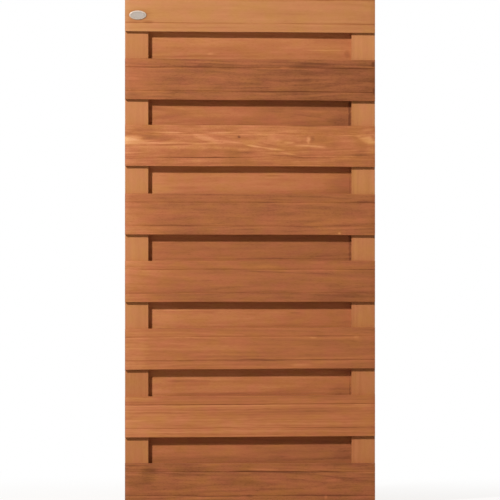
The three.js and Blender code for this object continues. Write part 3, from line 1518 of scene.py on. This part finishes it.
@dataclass
class Board:
    """The grooved board that both rows are made of.

    Attributes:
        arris: Radius of the long edges.
        end_ease: How much the sawn ends are eased.
        groove_inset: From a long edge to the middle of its groove.
        groove_width: Width of a groove.
        groove_depth: Depth of a groove.
        lip_ease: How much a groove's lips are eased.
        margin: How far each long edge stands back from the solid's.
        stations: Number of lengths that the board is cut into, so that it can bow.
        bow: The span that the board wanders through, off a straight line.
        bow_length: How long its bows are.
    """

    arris: float = 1.8 * MM
    end_ease: float = 0.6 * MM
    groove_inset: float = 31.0 * MM
    groove_width: float = 4.0 * MM
    groove_depth: float = 1.2 * MM
    lip_ease: float = 0.3 * MM
    margin: float = 0.6 * MM
    stations: int = 40
    bow: float = 3.0 * MM
    bow_length: float = 0.45

    def pattern(self, size: Vector) -> bpy.types.Object:
        """Models the board with its grooves towards -Y, its middle at the origin.

        Args:
            size: Its length, thickness and width.

        Returns:
            The board.
        """
        half = size / 2
        deselect_all()
        bpy.ops.mesh.primitive_cube_add(size=1.0, scale=(size.x, size.y, size.z - 2 * self.margin))
        board = started("board_pattern")
        edge = half.z - self.margin
        groove = half.z - self.groove_inset
        across = Vector((0.0, 0.0, 1.0))
        with editing(board):
            for middle in (-groove, groove):
                for offset in (-self.groove_width / 2, 0.0, self.groove_width / 2):
                    cut_across(Vector((0.0, 0.0, middle + offset)), across)
            pick(board, Element.VERT, lambda vert: vert.co.y < 0.0 and abs(abs(vert.co.z) - groove) < NEAR)
            bpy.ops.transform.translate(value=(0.0, self.groove_depth, 0.0))
            pick(board, Element.EDGE, lambda line: lies_at(line, Z, edge) and span(line, X) > half.x)
            bevel(self.arris, ROUND_FACETS)
            lips = (groove - self.groove_width / 2, groove + self.groove_width / 2)
            pick(
                board,
                Element.EDGE,
                lambda line: span(line, X) > half.x
                and line.verts[0].co.y < -FACING * half.y
                and any(lies_at(line, Z, lip) for lip in lips),
            )
            bevel(self.lip_ease, EASE_FACETS)
            pick(board, Element.EDGE, lambda line: lies_at(line, X, half.x))
            bevel(self.end_ease, EASE_FACETS)
            for number in range(1, self.stations):
                x = -half.x + size.x * number / self.stations
                cut_across(Vector((x, 0.0, 0.0)), Vector((1.0, 0.0, 0.0)))
        return board

    def laid(self, board: bpy.types.Object, middle: Vector, length: float, lie: tuple[float, float]) -> None:
        """Lays a board a little out of level and bowed, as timber is, inside the screen's own box.

        Args:
            board: The board, its middle at the origin.
            middle: Its place.
            length: Its length.
            lie: How far its left and its right end lie above their place.
        """
        left, right = lie
        slant = Matrix.Identity(4)
        slant[2][0] = (right - left) / length
        board.data.transform(Matrix.Translation(middle + Vector((0.0, 0.0, (left + right) / 2))) @ slant)
        self.bowed(board)
        heights = [vert.co.z for vert in board.data.vertices]
        low, high = min(heights), max(heights)
        foot, top = max(low, CAD_BOX[0].z), min(high, CAD_BOX[1].z)
        narrowed = Matrix.Scale((top - foot) / (high - low), 4, (0.0, 0.0, 1.0))
        fit = Matrix.Translation((0.0, 0.0, foot)) @ narrowed
        board.data.transform(fit @ Matrix.Translation((0.0, 0.0, -low)))

    def bowed(self, board: bpy.types.Object) -> None:
        """Bends a board along its length.

        Args:
            board: The board, in its place.
        """
        clouds = bpy.data.textures.new("slow_bow", "CLOUDS")
        clouds.noise_scale = self.bow_length
        clouds.noise_depth = 1
        applied(
            board,
            "DISPLACE",
            texture=clouds,
            texture_coords="GLOBAL",
            direction="Z",
            strength=self.bow,
            mid_level=0.5,
        )


@dataclass
class BoardRow:
    """A row of equal boards across one side of the stiles.

    Attributes:
        prefix: What their nodes' names start with.
        side: The side that their grooves look to.
        slot: The record's slot of their wood. Not used.
        timbers: How each board looks, from the foot upwards.
        board: The board that is modelled once.
        finish: Their finish.
    """

    prefix: str
    side: Side
    slot: Slot
    timbers: tuple[Timber, ...]
    board: Board = field(default_factory=Board)
    finish: WoodFinish = WoodFinish()

    def build(self, screws: Screws) -> None:
        """Models one board and copies it to every place of the row.

        Args:
            screws: Whose bores the boards need.
        """
        low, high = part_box(f"{self.prefix}_1")
        size = high - low
        pattern = self.board.pattern(size)
        if self.side is Side.REAR:
            pattern.data.transform(Matrix.Rotation(math.pi, 4, "Z"))
        for number, timber in enumerate(self.timbers, start=1):
            node = f"{self.prefix}_{number}"
            low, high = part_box(node)
            middle = (low + high) / 2
            board = copied(pattern, f"{node}_timber", Matrix.Identity(4))
            self.board.laid(board, middle, size.x, timber.lie)
            screws.bore_out(board, node)
            cleaned(board, WOOD_SMOOTH)
            material = self.finish.material(
                f"{node}_stained",
                timber,
                middle,
                size,
                groove=size.z / 2 - self.board.groove_inset,
                side=self.side,
            )
            fitted(board, node, material)
        discard(pattern)


# ---- Stiles ----


@dataclass
class Stiles:
    """The two uprights between the rows of boards.

    Attributes:
        timbers: How each stile looks, by its side.
        arris: Radius of the long edges.
        end_ease: How much the sawn ends are eased.
        stations: Number of lengths that a stile's faces are cut into.
        finish: Their finish.
    """

    timbers: dict[str, Timber]
    arris: float = 2.0 * MM
    end_ease: float = 0.8 * MM
    stations: int = 24
    finish: WoodFinish = WoodFinish()

    def build(self, screws: Screws) -> None:
        """Models both stiles.

        Args:
            screws: Whose bores the stiles need.
        """
        for side, timber in self.timbers.items():
            node = f"stile_{side}"
            low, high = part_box(node)
            middle, size = (low + high) / 2, high - low
            deselect_all()
            bpy.ops.mesh.primitive_cube_add(size=1.0, location=middle, scale=size)
            stile = started(f"{node}_timber")
            with editing(stile):
                pick(stile, Element.EDGE, lambda line: span(line, Z) > size.z / 2)
                bevel(self.arris, ROUND_FACETS)
                pick(stile, Element.EDGE, lambda line: lies_at(line, Z, size.z / 2, middle.z))
                bevel(self.end_ease, EASE_FACETS)
                for number in range(1, self.stations):
                    z = low.z + size.z * number / self.stations
                    cut_across(Vector((0.0, 0.0, z)), Vector((0.0, 0.0, 1.0)))
            screws.bore_out(stile, node)
            cleaned(stile, WOOD_SMOOTH)
            along = Vector((size.z, size.y, size.x))
            material = self.finish.material(f"{node}_stained", timber, middle, along, upright=True)
            fitted(stile, node, material)


# ---- Badge plate ----


@dataclass
class BadgePlate:
    """The bare oval plate near the top left corner, and the two round-headed pins that hold it.

    Attributes:
        bevel_width: Width of the rounding of its front edge.
        bevel_facets: The facets of that rounding.
        rim: Width of its raised border.
        step: Width of the slope from the border to the sunken field.
        recess: How deep the field lies.
        front_share: What tells its front face: it is larger than this share of its width times its height.
        sides: Facets around it.
        pin_sides: Facets around a pin.
        pin_shank: Diameter of a pin's shank.
        pin_head: Diameter of its head.
        pin_head_height: Height of its head.
        pin_dome: The steps of the head, each a share of its height and of the width before it.
        bright: The metal's colour where it is polished.
        dull: Its colour in hollows.
        roughness: Its mean roughness.
        speckle: Specks per metre.
        metallic: The shader's metallic value.
        hollow: Where the dull field starts and is dullest, as a share of its depth.
    """

    bevel_width: float = 0.8 * MM
    bevel_facets: int = 4
    rim: float = 4.6 * MM
    step: float = 0.8 * MM
    recess: float = 0.9 * MM
    front_share: float = 0.3
    sides: int = 96
    pin_sides: int = 32
    pin_shank: float = 1.8 * MM
    pin_head: float = 3.4 * MM
    pin_head_height: float = 0.9 * MM
    pin_dome: tuple[tuple[float, float], ...] = ((0.35, 0.94), (0.35, 0.78), (0.3, 0.35))
    bright: tuple[float, float, float] = (0.48, 0.39, 0.315)
    dull: tuple[float, float, float] = (0.3, 0.262, 0.235)
    roughness: float = 0.45
    speckle: float = 2500.0
    metallic: float = 0.8
    hollow: tuple[float, float] = (0.2, 0.9)

    def plate(self) -> bpy.types.Object:
        """Models the plate.

        Returns:
            The plate, in its place.
        """
        low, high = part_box("badge_plate")
        middle, size = (low + high) / 2, high - low
        deselect_all()
        bpy.ops.mesh.primitive_cylinder_add(
            vertices=self.sides,
            radius=size.x / 2,
            depth=size.y,
            location=middle,
            rotation=(math.pi / 2, 0.0, 0.0),
        )
        plate = bpy.context.active_object
        plate.scale.y = size.z / size.x
        plate = started("badge_plate_cast")
        front_area = self.front_share * size.x * size.z
        with editing(plate):
            pick(plate, Element.EDGE, lambda line: all(vert.co.y < low.y + NEAR for vert in line.verts))
            bevel(self.bevel_width, self.bevel_facets)
            pick(plate, Element.FACE, lambda face: face.normal.y < -FACING and face.calc_area() > front_area)
            bpy.ops.mesh.inset(thickness=self.rim - self.bevel_width, depth=0.0)
            bpy.ops.mesh.inset(thickness=self.step, depth=-self.recess)
        cleaned(plate, METAL_SMOOTH)
        return plate

    def pin(self, node: str) -> bpy.types.Object:
        """Models a pin.

        Args:
            node: The pin's node.

        Returns:
            The pin, in its place.
        """
        low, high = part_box(node)
        middle = (low + high) / 2
        under = low.y + self.pin_head_height
        deselect_all()
        bpy.ops.mesh.primitive_cylinder_add(
            vertices=self.pin_sides,
            radius=self.pin_shank / 2,
            depth=high.y - under,
            location=(middle.x, (under + high.y) / 2, middle.z),
            rotation=(math.pi / 2, 0.0, 0.0),
        )
        pin = started(f"{node}_cast")
        axis = Vector((middle.x, 0.0, middle.z))
        with editing(pin):
            pick(pin, Element.FACE, lambda face: face.normal.y < -FACING)
            grow(Vector(), self.pin_head / self.pin_shank, axis)
            for height, narrower in self.pin_dome:
                grow(Vector((0.0, -height * self.pin_head_height, 0.0)), narrower, axis)
        cleaned(pin, PIN_SMOOTH)
        return pin

    def build(self) -> None:
        """Models the plate and its pins."""
        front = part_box("badge_plate")[0].y
        finish = MetalFinish(
            "cast_plate",
            bright=self.bright,
            dull=self.dull,
            roughness=self.roughness,
            speckle=self.speckle,
            metallic=self.metallic,
            hollow=tuple(front + share * self.recess for share in self.hollow),
        )
        metal = finish.material()
        fitted(self.plate(), "badge_plate", metal)
        for side in ("left", "right"):
            node = f"badge_pin_{side}"
            fitted(self.pin(node), node, metal)


# ---- Studio ----


@dataclass
class Studio:
    """The floor, the white surroundings, the lamps and the camera.

    Attributes:
        picture: The picture's width in pixels.
        sensor: The camera's sensor width.
        scale: How much of the screen's face a pixel shows.
        distance: From the screen's face to the camera.
        eye_height: The camera's height.
        ambient: The strength of the even light from all sides.
        ambient_colour: Its colour.
        key_place: Where the key lamp stands.
        key_power: Its power in watts.
        key_size: Its diameter.
        fill_place: Where the lamp for the rear side stands.
        fill_power: Its power in watts.
        fill_size: Its diameter.
        floor_radius: The floor's radius.
        floor_sides: The corners of its edge.
        floor_tone: How much light it throws back.
        floor_tone_seen: The tone that the camera sees.
        floor_roughness: Its roughness.
        floor_specular: The shader's specular level.
        glow: The share of plain white in what the camera sees, near the screen and far from it.
        glow_reach: From where to where that share changes.
    """

    picture: int = 500
    sensor: float = 36.0 * MM
    scale: float = 3.4974 * MM
    distance: float = 25.0
    eye_height: float = 0.8903
    ambient: float = 0.26
    ambient_colour: tuple[float, float, float] = (1.0, 0.71, 0.38)
    key_place: tuple[float, float, float] = (-4.25, -7.9, 5.05)
    key_power: float = 960.0
    key_size: float = 0.63
    fill_place: tuple[float, float, float] = (4.5, 9.0, 5.2)
    fill_power: float = 600.0
    fill_size: float = 2.4
    floor_radius: float = 40.0
    floor_tone: float = 0.5
    floor_tone_seen: float = 0.9
    floor_sides: int = 128
    floor_roughness: float = 0.9
    floor_specular: float = 0.1
    glow: tuple[float, float] = (0.8, 1.0)
    glow_reach: tuple[float, float] = (0.3, 3.5)

    def camera(self) -> None:
        """Sets the camera straight before the screen, so far off that its depth hardly shows."""
        face = CAD_BOX[0].y
        view = bpy.data.cameras.new("camera")
        view.sensor_width = self.sensor / MM
        view.lens = self.sensor * self.distance / (self.picture * self.scale) / MM
        holder = bpy.data.objects.new("camera", view)
        holder.location = (0.0, face - self.distance, self.eye_height)
        holder.rotation_euler = (math.pi / 2, 0.0, 0.0)
        bpy.context.collection.objects.link(holder)
        bpy.context.scene.camera = holder

    def lamp(self, name: str, place: Sequence[float], power: float, size: float) -> None:
        """Adds a round lamp that looks at the middle of the screen.

        Args:
            name: The lamp's name.
            place: Where it stands.
            power: Its power in watts.
            size: Its diameter.
        """
        light = bpy.data.lights.new(name, "AREA")
        light.shape = "DISK"
        light.size = size
        light.energy = power
        holder = bpy.data.objects.new(name, light)
        holder.location = place
        aim = (CAD_BOX[0] + CAD_BOX[1]) / 2 - Vector(place)
        holder.rotation_euler = aim.to_track_quat("-Z", "Y").to_euler()
        holder.visible_camera = False
        bpy.context.collection.objects.link(holder)

    def surroundings(self) -> None:
        """Makes a world that the camera and reflections see as white, and that gives an even warm light."""
        world = bpy.data.worlds.new("surroundings")
        world.use_nodes = True
        bpy.context.scene.world = world
        wiring = Wiring(world.node_tree)
        background = world.node_tree.nodes["Background"]
        path = wiring.node("LightPath")
        seen = wiring.math("MAXIMUM", path.outputs["Is Camera Ray"], path.outputs["Is Glossy Ray"])
        seen = wiring.math("MAXIMUM", seen, path.outputs["Is Transmission Ray"])
        colour = wiring.mixed(seen, (*self.ambient_colour, 1.0), WHITE)
        wiring.join(colour, background.inputs["Color"])
        strength = wiring.math("MULTIPLY_ADD", seen, 1.0 - self.ambient, self.ambient)
        wiring.join(strength, background.inputs["Strength"])

    def floor(self) -> None:
        """Lays a plain pale floor that looks white but keeps the screen's shadow."""
        deselect_all()
        bpy.ops.mesh.primitive_circle_add(
            vertices=self.floor_sides, radius=self.floor_radius, fill_type="NGON"
        )
        floor = started("floor")
        material, wiring, shader = new_material("pale_floor")
        path = wiring.node("LightPath")
        seen = path.outputs["Is Camera Ray"]
        tone = wiring.mixed(seen, (self.floor_tone,) * 3 + (1.0,), (self.floor_tone_seen,) * 3 + (1.0,))
        wiring.join(tone, shader.inputs["Base Color"])
        shader.inputs["Roughness"].default_value = self.floor_roughness
        shader.inputs["Specular IOR Level"].default_value = self.floor_specular
        glow = wiring.node("Emission")
        away = wiring.vector("LENGTH", wiring.node("TexCoord").outputs["Object"])
        far = wiring.rise(away, *self.glow_reach)
        near_share, far_share = self.glow
        share = wiring.math("MULTIPLY_ADD", far, far_share - near_share, near_share)
        mix = wiring.node("MixShader")
        glow_share, own_look, plain_white = mix.inputs
        wiring.join(wiring.math("MULTIPLY", share, seen), glow_share)
        wiring.join(shader.outputs["BSDF"], own_look)
        wiring.join(glow.outputs["Emission"], plain_white)
        output = material.node_tree.nodes["Material Output"]
        wiring.join(mix.outputs["Shader"], output.inputs["Surface"])
        floor.data.materials.append(material)

    def build(self) -> None:
        """Sets the whole studio up."""
        bpy.context.scene.view_settings.view_transform = "Standard"
        self.camera()
        self.surroundings()
        self.lamp("key_lamp", self.key_place, self.key_power, self.key_size)
        self.lamp("fill_lamp", self.fill_place, self.fill_power, self.fill_size)
        self.floor()


# ---- The timbers, from the foot upwards ----

# On the face boards, the long bands along the upper and lower edges and the lines on the grooves, at about ±41
# mm, are partly painted shade and painted light.
FACE_TIMBERS = (
    Timber(
        tones=(0.205, 0.26, 0.27),
        seed=11.0,
        tint=0.65,
        shortness=1.3,
        marks=marks(
            (160, 42, 360, 5, -22), (-170, 42, 120, 5, -8), (50, 50, 120, 6, 12), (170, 49, 330, 4, 6),
            (-355, 37, 45, 60, -10), (-395, 10, 100, 30, -8), (-410, 33, 60, 5, 10), (-295, 49, 60, 20, 6),
            (-20, 36, 50, 8, 10), (290, 13, 50, 12, 16), (320, 6, 150, 40, -10), (-190, 6, 180, 6, 7),
            (50, 8, 90, 16, 5), (-150, -42, 230, 4, -18), (-150, -49, 200, 4, 10), (0, -42, 25, 10, -12),
            (260, -41, 380, 6, -9), (265, -47, 10, 12, 20), (-380, 57, 110, 10, 6), (-20, 0, 130, 24, 5),
            (250, 0, 110, 24, 5), (390, 0, 90, 24, 5), (-15, -43, 330, 6, -6), (410, 62, 70, 24, -9),
            (200, -18, 230, 14, 8), (0, 16, 90, 10, 8), (360, 18, 90, 6, 8), (-390, 52, 80, 10, 8),
            (-380, -45, 120, 16, 8), (415, -55, 50, 14, -10), (140, -8, 150, 14, 6), (-220, 66, 120, 10, -8),
            (290, 67, 300, 14, -8),
        ),
    ),
    Timber(
        tones=(0.56, 0.455, 0.425),
        reach=(0.3, 0.5),
        seed=12.0,
        ring_width=9 * MM,
        pith=(0.02, 0.3),
        tilt=(0.0, 0.0),
        shortness=0.35,
        lie=(-2.5 * MM, 2.5 * MM),
        marks=marks(
            (0, 68, 900, 14, -9), (-130, 42, 340, 4, -15), (330, 42, 160, 4, -12), (-80, 37, 620, 6, 8),
            (390, 38, 60, 4, 10), (-100, 16, 660, 14, -7), (250, 19, 340, 12, -10), (-50, -6, 760, 10, 5),
            (-170, -18, 90, 6, -5), (-100, -31, 170, 5, 8), (-70, -41, 180, 5, -8), (310, -41, 260, 8, -10),
            (0, -54, 880, 14, 6), (-330, 13, 240, 6, -19), (-250, -12, 380, 8, 14), (90, -34, 230, 8, -7),
            (0, -66, 880, 8, 5), (80, -43, 260, 7, -7), (-405, -12, 70, 12, 9),
        ),
    ),
    Timber(
        tones=(0.455, 0.4, 0.32),
        reach=(0.3, 0.5),
        seed=13.0,
        lie=(-0.8 * MM, 3.8 * MM),
        contrast=0.65,
        shortness=0.6,
        marks=marks(
            (-405, 42, 60, 6, -8), (-155, 42, 100, 6, -9), (0, 44, 260, 6, -6), (250, 42, 60, 8, -8),
            (-395, 39, 80, 5, 8), (-210, 39, 170, 5, 7), (222, 36, 24, 8, 12), (373, 36, 16, 14, 10),
            (15, -41, 840, 6, -20), (-225, -42, 60, 7, -10), (50, -34, 640, 3, 6), (180, -59, 60, 10, 9),
            (-260, -61, 60, 8, -4), (200, -48, 70, 8, -6), (-405, 0, 80, 150, 8), (-85, -22, 240, 10, 9),
            (50, -52, 320, 22, -8),
        ),
    ),
    Timber(
        tones=(0.5, 0.335, 0.26),
        reach=(0.2, 0.5),
        seed=14.0,
        tint=0.65,
        contrast=0.6,
        marks=marks(
            (-340, 42, 130, 6, -10), (-310, 39, 90, 4, 6), (-100, 42, 90, 9, -10),
            (-10, 38, 110, 6, -10, -0.1), (90, 33, 150, 5, -11, -0.03), (240, 28, 130, 5, -8),
            (150, 39, 200, 5, 8), (290, 39, 120, 5, 8), (-150, 4, 45, 5, -10), (305, -16, 65, 12, -10),
            (-150, -41, 560, 12, -6), (-110, -25, 200, 14, -5), (330, -43, 210, 22, -10),
            (-240, 62, 100, 10, 6), (60, 52, 60, 8, 7), (235, 66, 60, 8, 10), (-315, 10, 250, 18, 6),
            (0, -52, 900, 50, -8), (-20, -56, 70, 10, -6), (110, -56, 70, 10, -6), (-380, -30, 60, 8, -7),
            (-270, -4, 140, 10, 6),
        ),
    ),
    Timber(
        tones=(0.455, 0.305, 0.3),
        reach=(0.2, 0.5),
        seed=15.0,
        lie=(-0.6 * MM, -3.0 * MM),
        shortness=1.4,
        marks=marks(
            (-375, 42, 70, 7, -10), (-60, 37, 80, 10, -5), (190, 42, 320, 6, -9), (390, 44, 60, 8, -13),
            (170, 39, 240, 4, 7), (100, 31, 80, 5, -7), (-105, 36, 60, 14, -6), (-305, 7, 50, 8, -7),
            (-300, -40, 110, 8, -12), (-170, -41, 150, 5, -5), (340, -41, 170, 6, -13),
            (200, -41, 100, 6, -6), (300, -48, 160, 6, 8), (313, -64, 10, 6, 35), (-200, 68, 400, 8, -6),
            (-200, 54, 320, 10, -6), (-415, 54, 50, 14, -6), (-245, -51, 110, 8, 6), (165, -22, 190, 10, -11),
            (-100, 10, 150, 20, -7), (230, -40, 80, 6, 8),
        ),
    ),
    Timber(
        tones=(0.5, 0.52, 0.475),
        seed=16.0,
        lie=(4.0 * MM, 0.0),
        ring_width=6 * MM,
        pith=(0.05, 0.027),
        tilt=(0.022, 0.0),
        contrast=0.9,
        shortness=2.0,
        marks=marks(
            (-425, 20, 110, 22, 50), (-425, -24, 90, 12, 12), (-400, 8, 160, 8, 10), (-210, 9, 360, 5, 18),
            (-270, 3, 260, 4, -10), (-210, -7, 270, 8, 10), (-310, 27, 110, 20, -8), (-275, 46, 80, 6, 24),
            (-110, 45, 90, 6, 26, 0.03), (-200, 39, 280, 4, 10), (-110, 55, 100, 6, -11),
            (-300, 55, 110, 8, -9), (-155, 27, 70, 18, 22, -0.3), (-85, 30, 70, 16, -5),
            (-38, 30, 10, 8, -35), (-80, 15, 80, 5, 10, -0.12), (12, -1, 50, 7, 34, -0.15),
            (80, -10, 90, 6, 26, -0.15), (140, -28, 60, 5, 14, -0.2), (-30, -27, 110, 7, -12),
            (60, 5, 60, 6, -12, -0.2), (110, -33, 120, 6, -12, -0.1), (90, 20, 50, 22, 9, -0.5),
            (200, 36, 50, 6, -8), (204, 21, 11, 24, 26), (219, 25, 14, 18, -15), (205, 0, 100, 5, 26, -0.05),
            (240, -5, 40, 4, 14), (410, 24, 60, 24, 28, -0.3), (370, 42, 100, 4, -12), (345, 39, 60, 3, 14),
            (395, -31, 80, 9, -18), (390, -18, 80, 5, -10), (-110, -41, 160, 6, -13), (-250, -41, 150, 5, -6),
            (180, -42, 160, 6, -11), (-190, -50, 90, 4, 9), (0, -45, 900, 50, -9), (-405, 34, 60, 7, 14),
            (-405, -4, 60, 7, 12), (40, 28, 44, 7, 14), (135, 12, 36, 8, 26), (-65, 30, 34, 8, 14),
            (-20, -15, 44, 7, 12), (50, -46, 70, 6, -8), (130, -54, 40, 8, -8), (400, -15, 50, 7, -10),
            (420, 57, 40, 8, 16), (425, 10, 40, 60, 10), (-60, -11, 140, 8, 14), (-130, -39, 170, 5, 12),
            (-220, -64, 260, 9, -13), (300, 34, 90, 12, 8), (400, 34, 30, 8, -16), (-425, 57, 50, 12, 10),
            (-405, -21, 70, 6, -12), (380, -23, 70, 6, -7), (230, 71, 280, 5, -15),
        ),
    ),
    Timber(
        tones=(0.38, 0.255, 0.2),
        reach=(0.2, 0.45),
        seed=17.0,
        contrast=0.85,
        shortness=1.3,
        lie=(0.6 * MM, -6.0 * MM),
        marks=marks(
            (-310, 42, 240, 5, -12), (-285, 38, 140, 4, 8), (-170, 47, 60, 10, -7), (215, 52, 100, 22, -12),
            (375, 42, 120, 6, -16), (120, 43, 28, 8, 12), (40, 40, 40, 5, 9), (100, 34, 190, 5, -6),
            (-345, -41, 60, 5, -10), (-235, -41, 100, 10, -10), (100, -41, 400, 6, -12), (50, -49, 100, 5, 9),
            (-350, -55, 80, 10, 6), (432, 57, 12, 14, -30), (434, -38, 10, 18, -20), (-340, 52, 180, 12, -7),
            (-10, -25, 150, 6, 12), (-410, 2, 50, 12, 6), (-360, 41, 150, 6, -13), (160, 24, 210, 18, -11),
            (130, 0, 360, 10, -8), (-160, -39, 110, 6, -11), (-250, -60, 120, 10, 6), (-160, 61, 100, 8, 7),
            (300, 66, 260, 10, 9), (80, -56, 620, 10, 5),
        ),
    ),
    Timber(
        tones=(0.66, 0.59, 0.55),
        seed=18.0,
        contrast=0.3,
        cast=(0.915, 0.99, 0.985),
        tint=0.4,
        lie=(3.5 * MM, -3.5 * MM),
        marks=marks(
            # Painted shadow: (-389, -17, 70, 40, -16) is a soft dark patch a little larger than the oval
            # plate, a little below and right of it.
            (-389, -17, 70, 40, -16), (290, -42, 320, 5, -5), (270, -33, 250, 5, 4), (220, -47, 150, 5, 5),
            (-415, -41, 50, 10, -8), (-355, -40, 30, 10, -16), (-180, -63, 480, 6, 3), (0, -60, 880, 14, -5),
            (-355, -57, 150, 12, -5), (260, 42, 60, 7, -8), (60, 38, 200, 10, -5), (-65, 10, 60, 7, 4),
            (235, 7, 40, 7, 5), (165, -3, 90, 6, 4), (-60, -43, 700, 6, -4),
        ),
    ),
)
# On the rear boards, the long dark bands low down, just above the face board below, are partly painted shade.
REAR_TIMBERS = (
    Timber(
        tones=(0.46, 0.375, 0.275),
        seed=21.0,
        contrast=0.6,
        marks=marks(
            # Painted light: (-190, 20, 340, 4, 15) is a pale line at the lower end of the shadow that the face
            # board above casts.
            (0, -36, 900, 22, -10), (100, -24, 70, 10, -8), (330, -14, 60, 40, -8), (-190, 20, 340, 4, 15),
        ),
    ),
    Timber(
        tones=(0.58, 0.455, 0.395),
        seed=22.0,
        contrast=0.6,
        marks=marks(
            # Painted light: (0, 38, 900, 40, 6), further down, is a paler band over the shadow that the face
            # board above casts.
            (-260, 4, 45, 7, -10), (-150, 3, 260, 6, -7), (-240, 12, 120, 5, 6), (150, -28, 120, 16, -6),
            # Painted shade: (350, -18, 5, 60, -18) is a narrow dark strip beside the right stile, where the
            # board meets it.
            (320, -26, 70, 34, -8), (0, -41, 720, 10, -10), (350, -18, 5, 60, -18), (0, 38, 900, 40, 6),
        ),
    ),
    Timber(
        tones=(0.635, 0.475, 0.36),
        seed=23.0,
        contrast=0.5,
        marks=marks(
            (-200, 13, 180, 4, -9), (-270, 18, 140, 5, 7), (-140, 9, 50, 5, -8), (160, 9, 40, 5, -10),
            (0, -40, 500, 6, -6),
        ),
    ),
    Timber(
        tones=(0.485, 0.355, 0.225),
        seed=24.0,
        contrast=0.6,
        # Painted shade: (350, 0, 8, 200, -15) is a narrow dark strip beside the right stile.
        marks=marks((0, -39, 640, 4, -12), (-302, 19, 70, 5, 12), (350, 0, 8, 200, -15)),
    ),
    Timber(
        tones=(0.64, 0.49, 0.37),
        seed=25.0,
        contrast=0.4,
        marks=marks(
            # Painted shade: (350, 0, 5, 150, -10) is a narrow dark strip beside the right stile.
            (330, -12, 110, 70, -12), (350, 0, 5, 150, -10), (90, 16, 80, 4, -10), (85, 11, 60, 5, 6),
            (-250, -26, 100, 8, -5),
        ),
    ),
    Timber(
        tones=(0.48, 0.38, 0.27),
        seed=26.0,
        contrast=0.65,
        shortness=1.4,
        marks=marks(
            (320, -28, 80, 40, -14), (220, -13, 130, 5, -10, -0.13), (230, 4, 60, 8, 8),
            # Painted shade: (349, 2, 8, 200, -25) is a narrow dark strip beside the right stile.
            (349, 2, 8, 200, -25), (90, 4, 50, 7, -8), (200, 16, 250, 10, -6), (-180, -10, 40, 8, 7),
            # Painted shade: (0, -44, 640, 5, -16) is a dark line just above the top edge of the face board
            # below.
            (330, 10, 40, 10, -8), (-270, 16, 80, 16, 7), (0, -44, 640, 5, -16),
        ),
    ),
    Timber(
        tones=(0.55, 0.53, 0.46),
        seed=27.0,
        tint=0.4,
        contrast=0.5,
        marks=marks(
            (250, -16, 120, 5, 13), (-140, -29, 20, 7, 14), (341, -28, 18, 24, -14), (-150, -38, 380, 8, -7),
            # Painted light: (0, 38, 900, 40, 4) is a paler band over the shadow that the face board above
            # casts.
            (0, 38, 900, 40, 4),
        ),
    ),
)
STILE_TIMBERS = {
    "left": Timber(
        tones=(0.45, 0.545, 0.61),
        reach=(0.9, 0.5),
        seed=31.0,
        pith=(0.08, 0.03),
        tilt=(0.004, 0.0),
        contrast=0.25,
        tint=0.4,
        cast=(0.97, 1.05, 1.04),
        marks=marks((708, 0, 220, 160, -6), (-472, 0, 220, 160, -5)),
    ),
    "right": Timber(
        tones=(0.4, 0.54, 0.59),
        reach=(1.3, 0.5),
        seed=32.0,
        pith=(0.08, -0.02),
        tilt=(0.004, 0.0),
        contrast=0.25,
        tint=0.4,
        cast=(0.97, 1.05, 1.04),
        # Painted shade: (0, 40, 1900, 16, -7) darkens the stile's inner long edge, beside the rear boards.
        marks=marks((0, 40, 1900, 16, -7), (-708, 0, 220, 160, 4)),
    ),
}


def main() -> None:
    """Builds the studio and every part of the screen."""
    logging.basicConfig(level=logging.INFO, format="%(message)s")
    Studio().build()
    screws = Screws()
    BoardRow("face_board", Side.FRONT, Slot.FACE_BOARD, FACE_TIMBERS).build(screws)
    BoardRow("rear_board", Side.REAR, Slot.REAR_BOARD, REAR_TIMBERS).build(screws)
    Stiles(STILE_TIMBERS).build(screws)
    screws.build()
    BadgePlate().build()


if __name__ == "__main__":
    main()
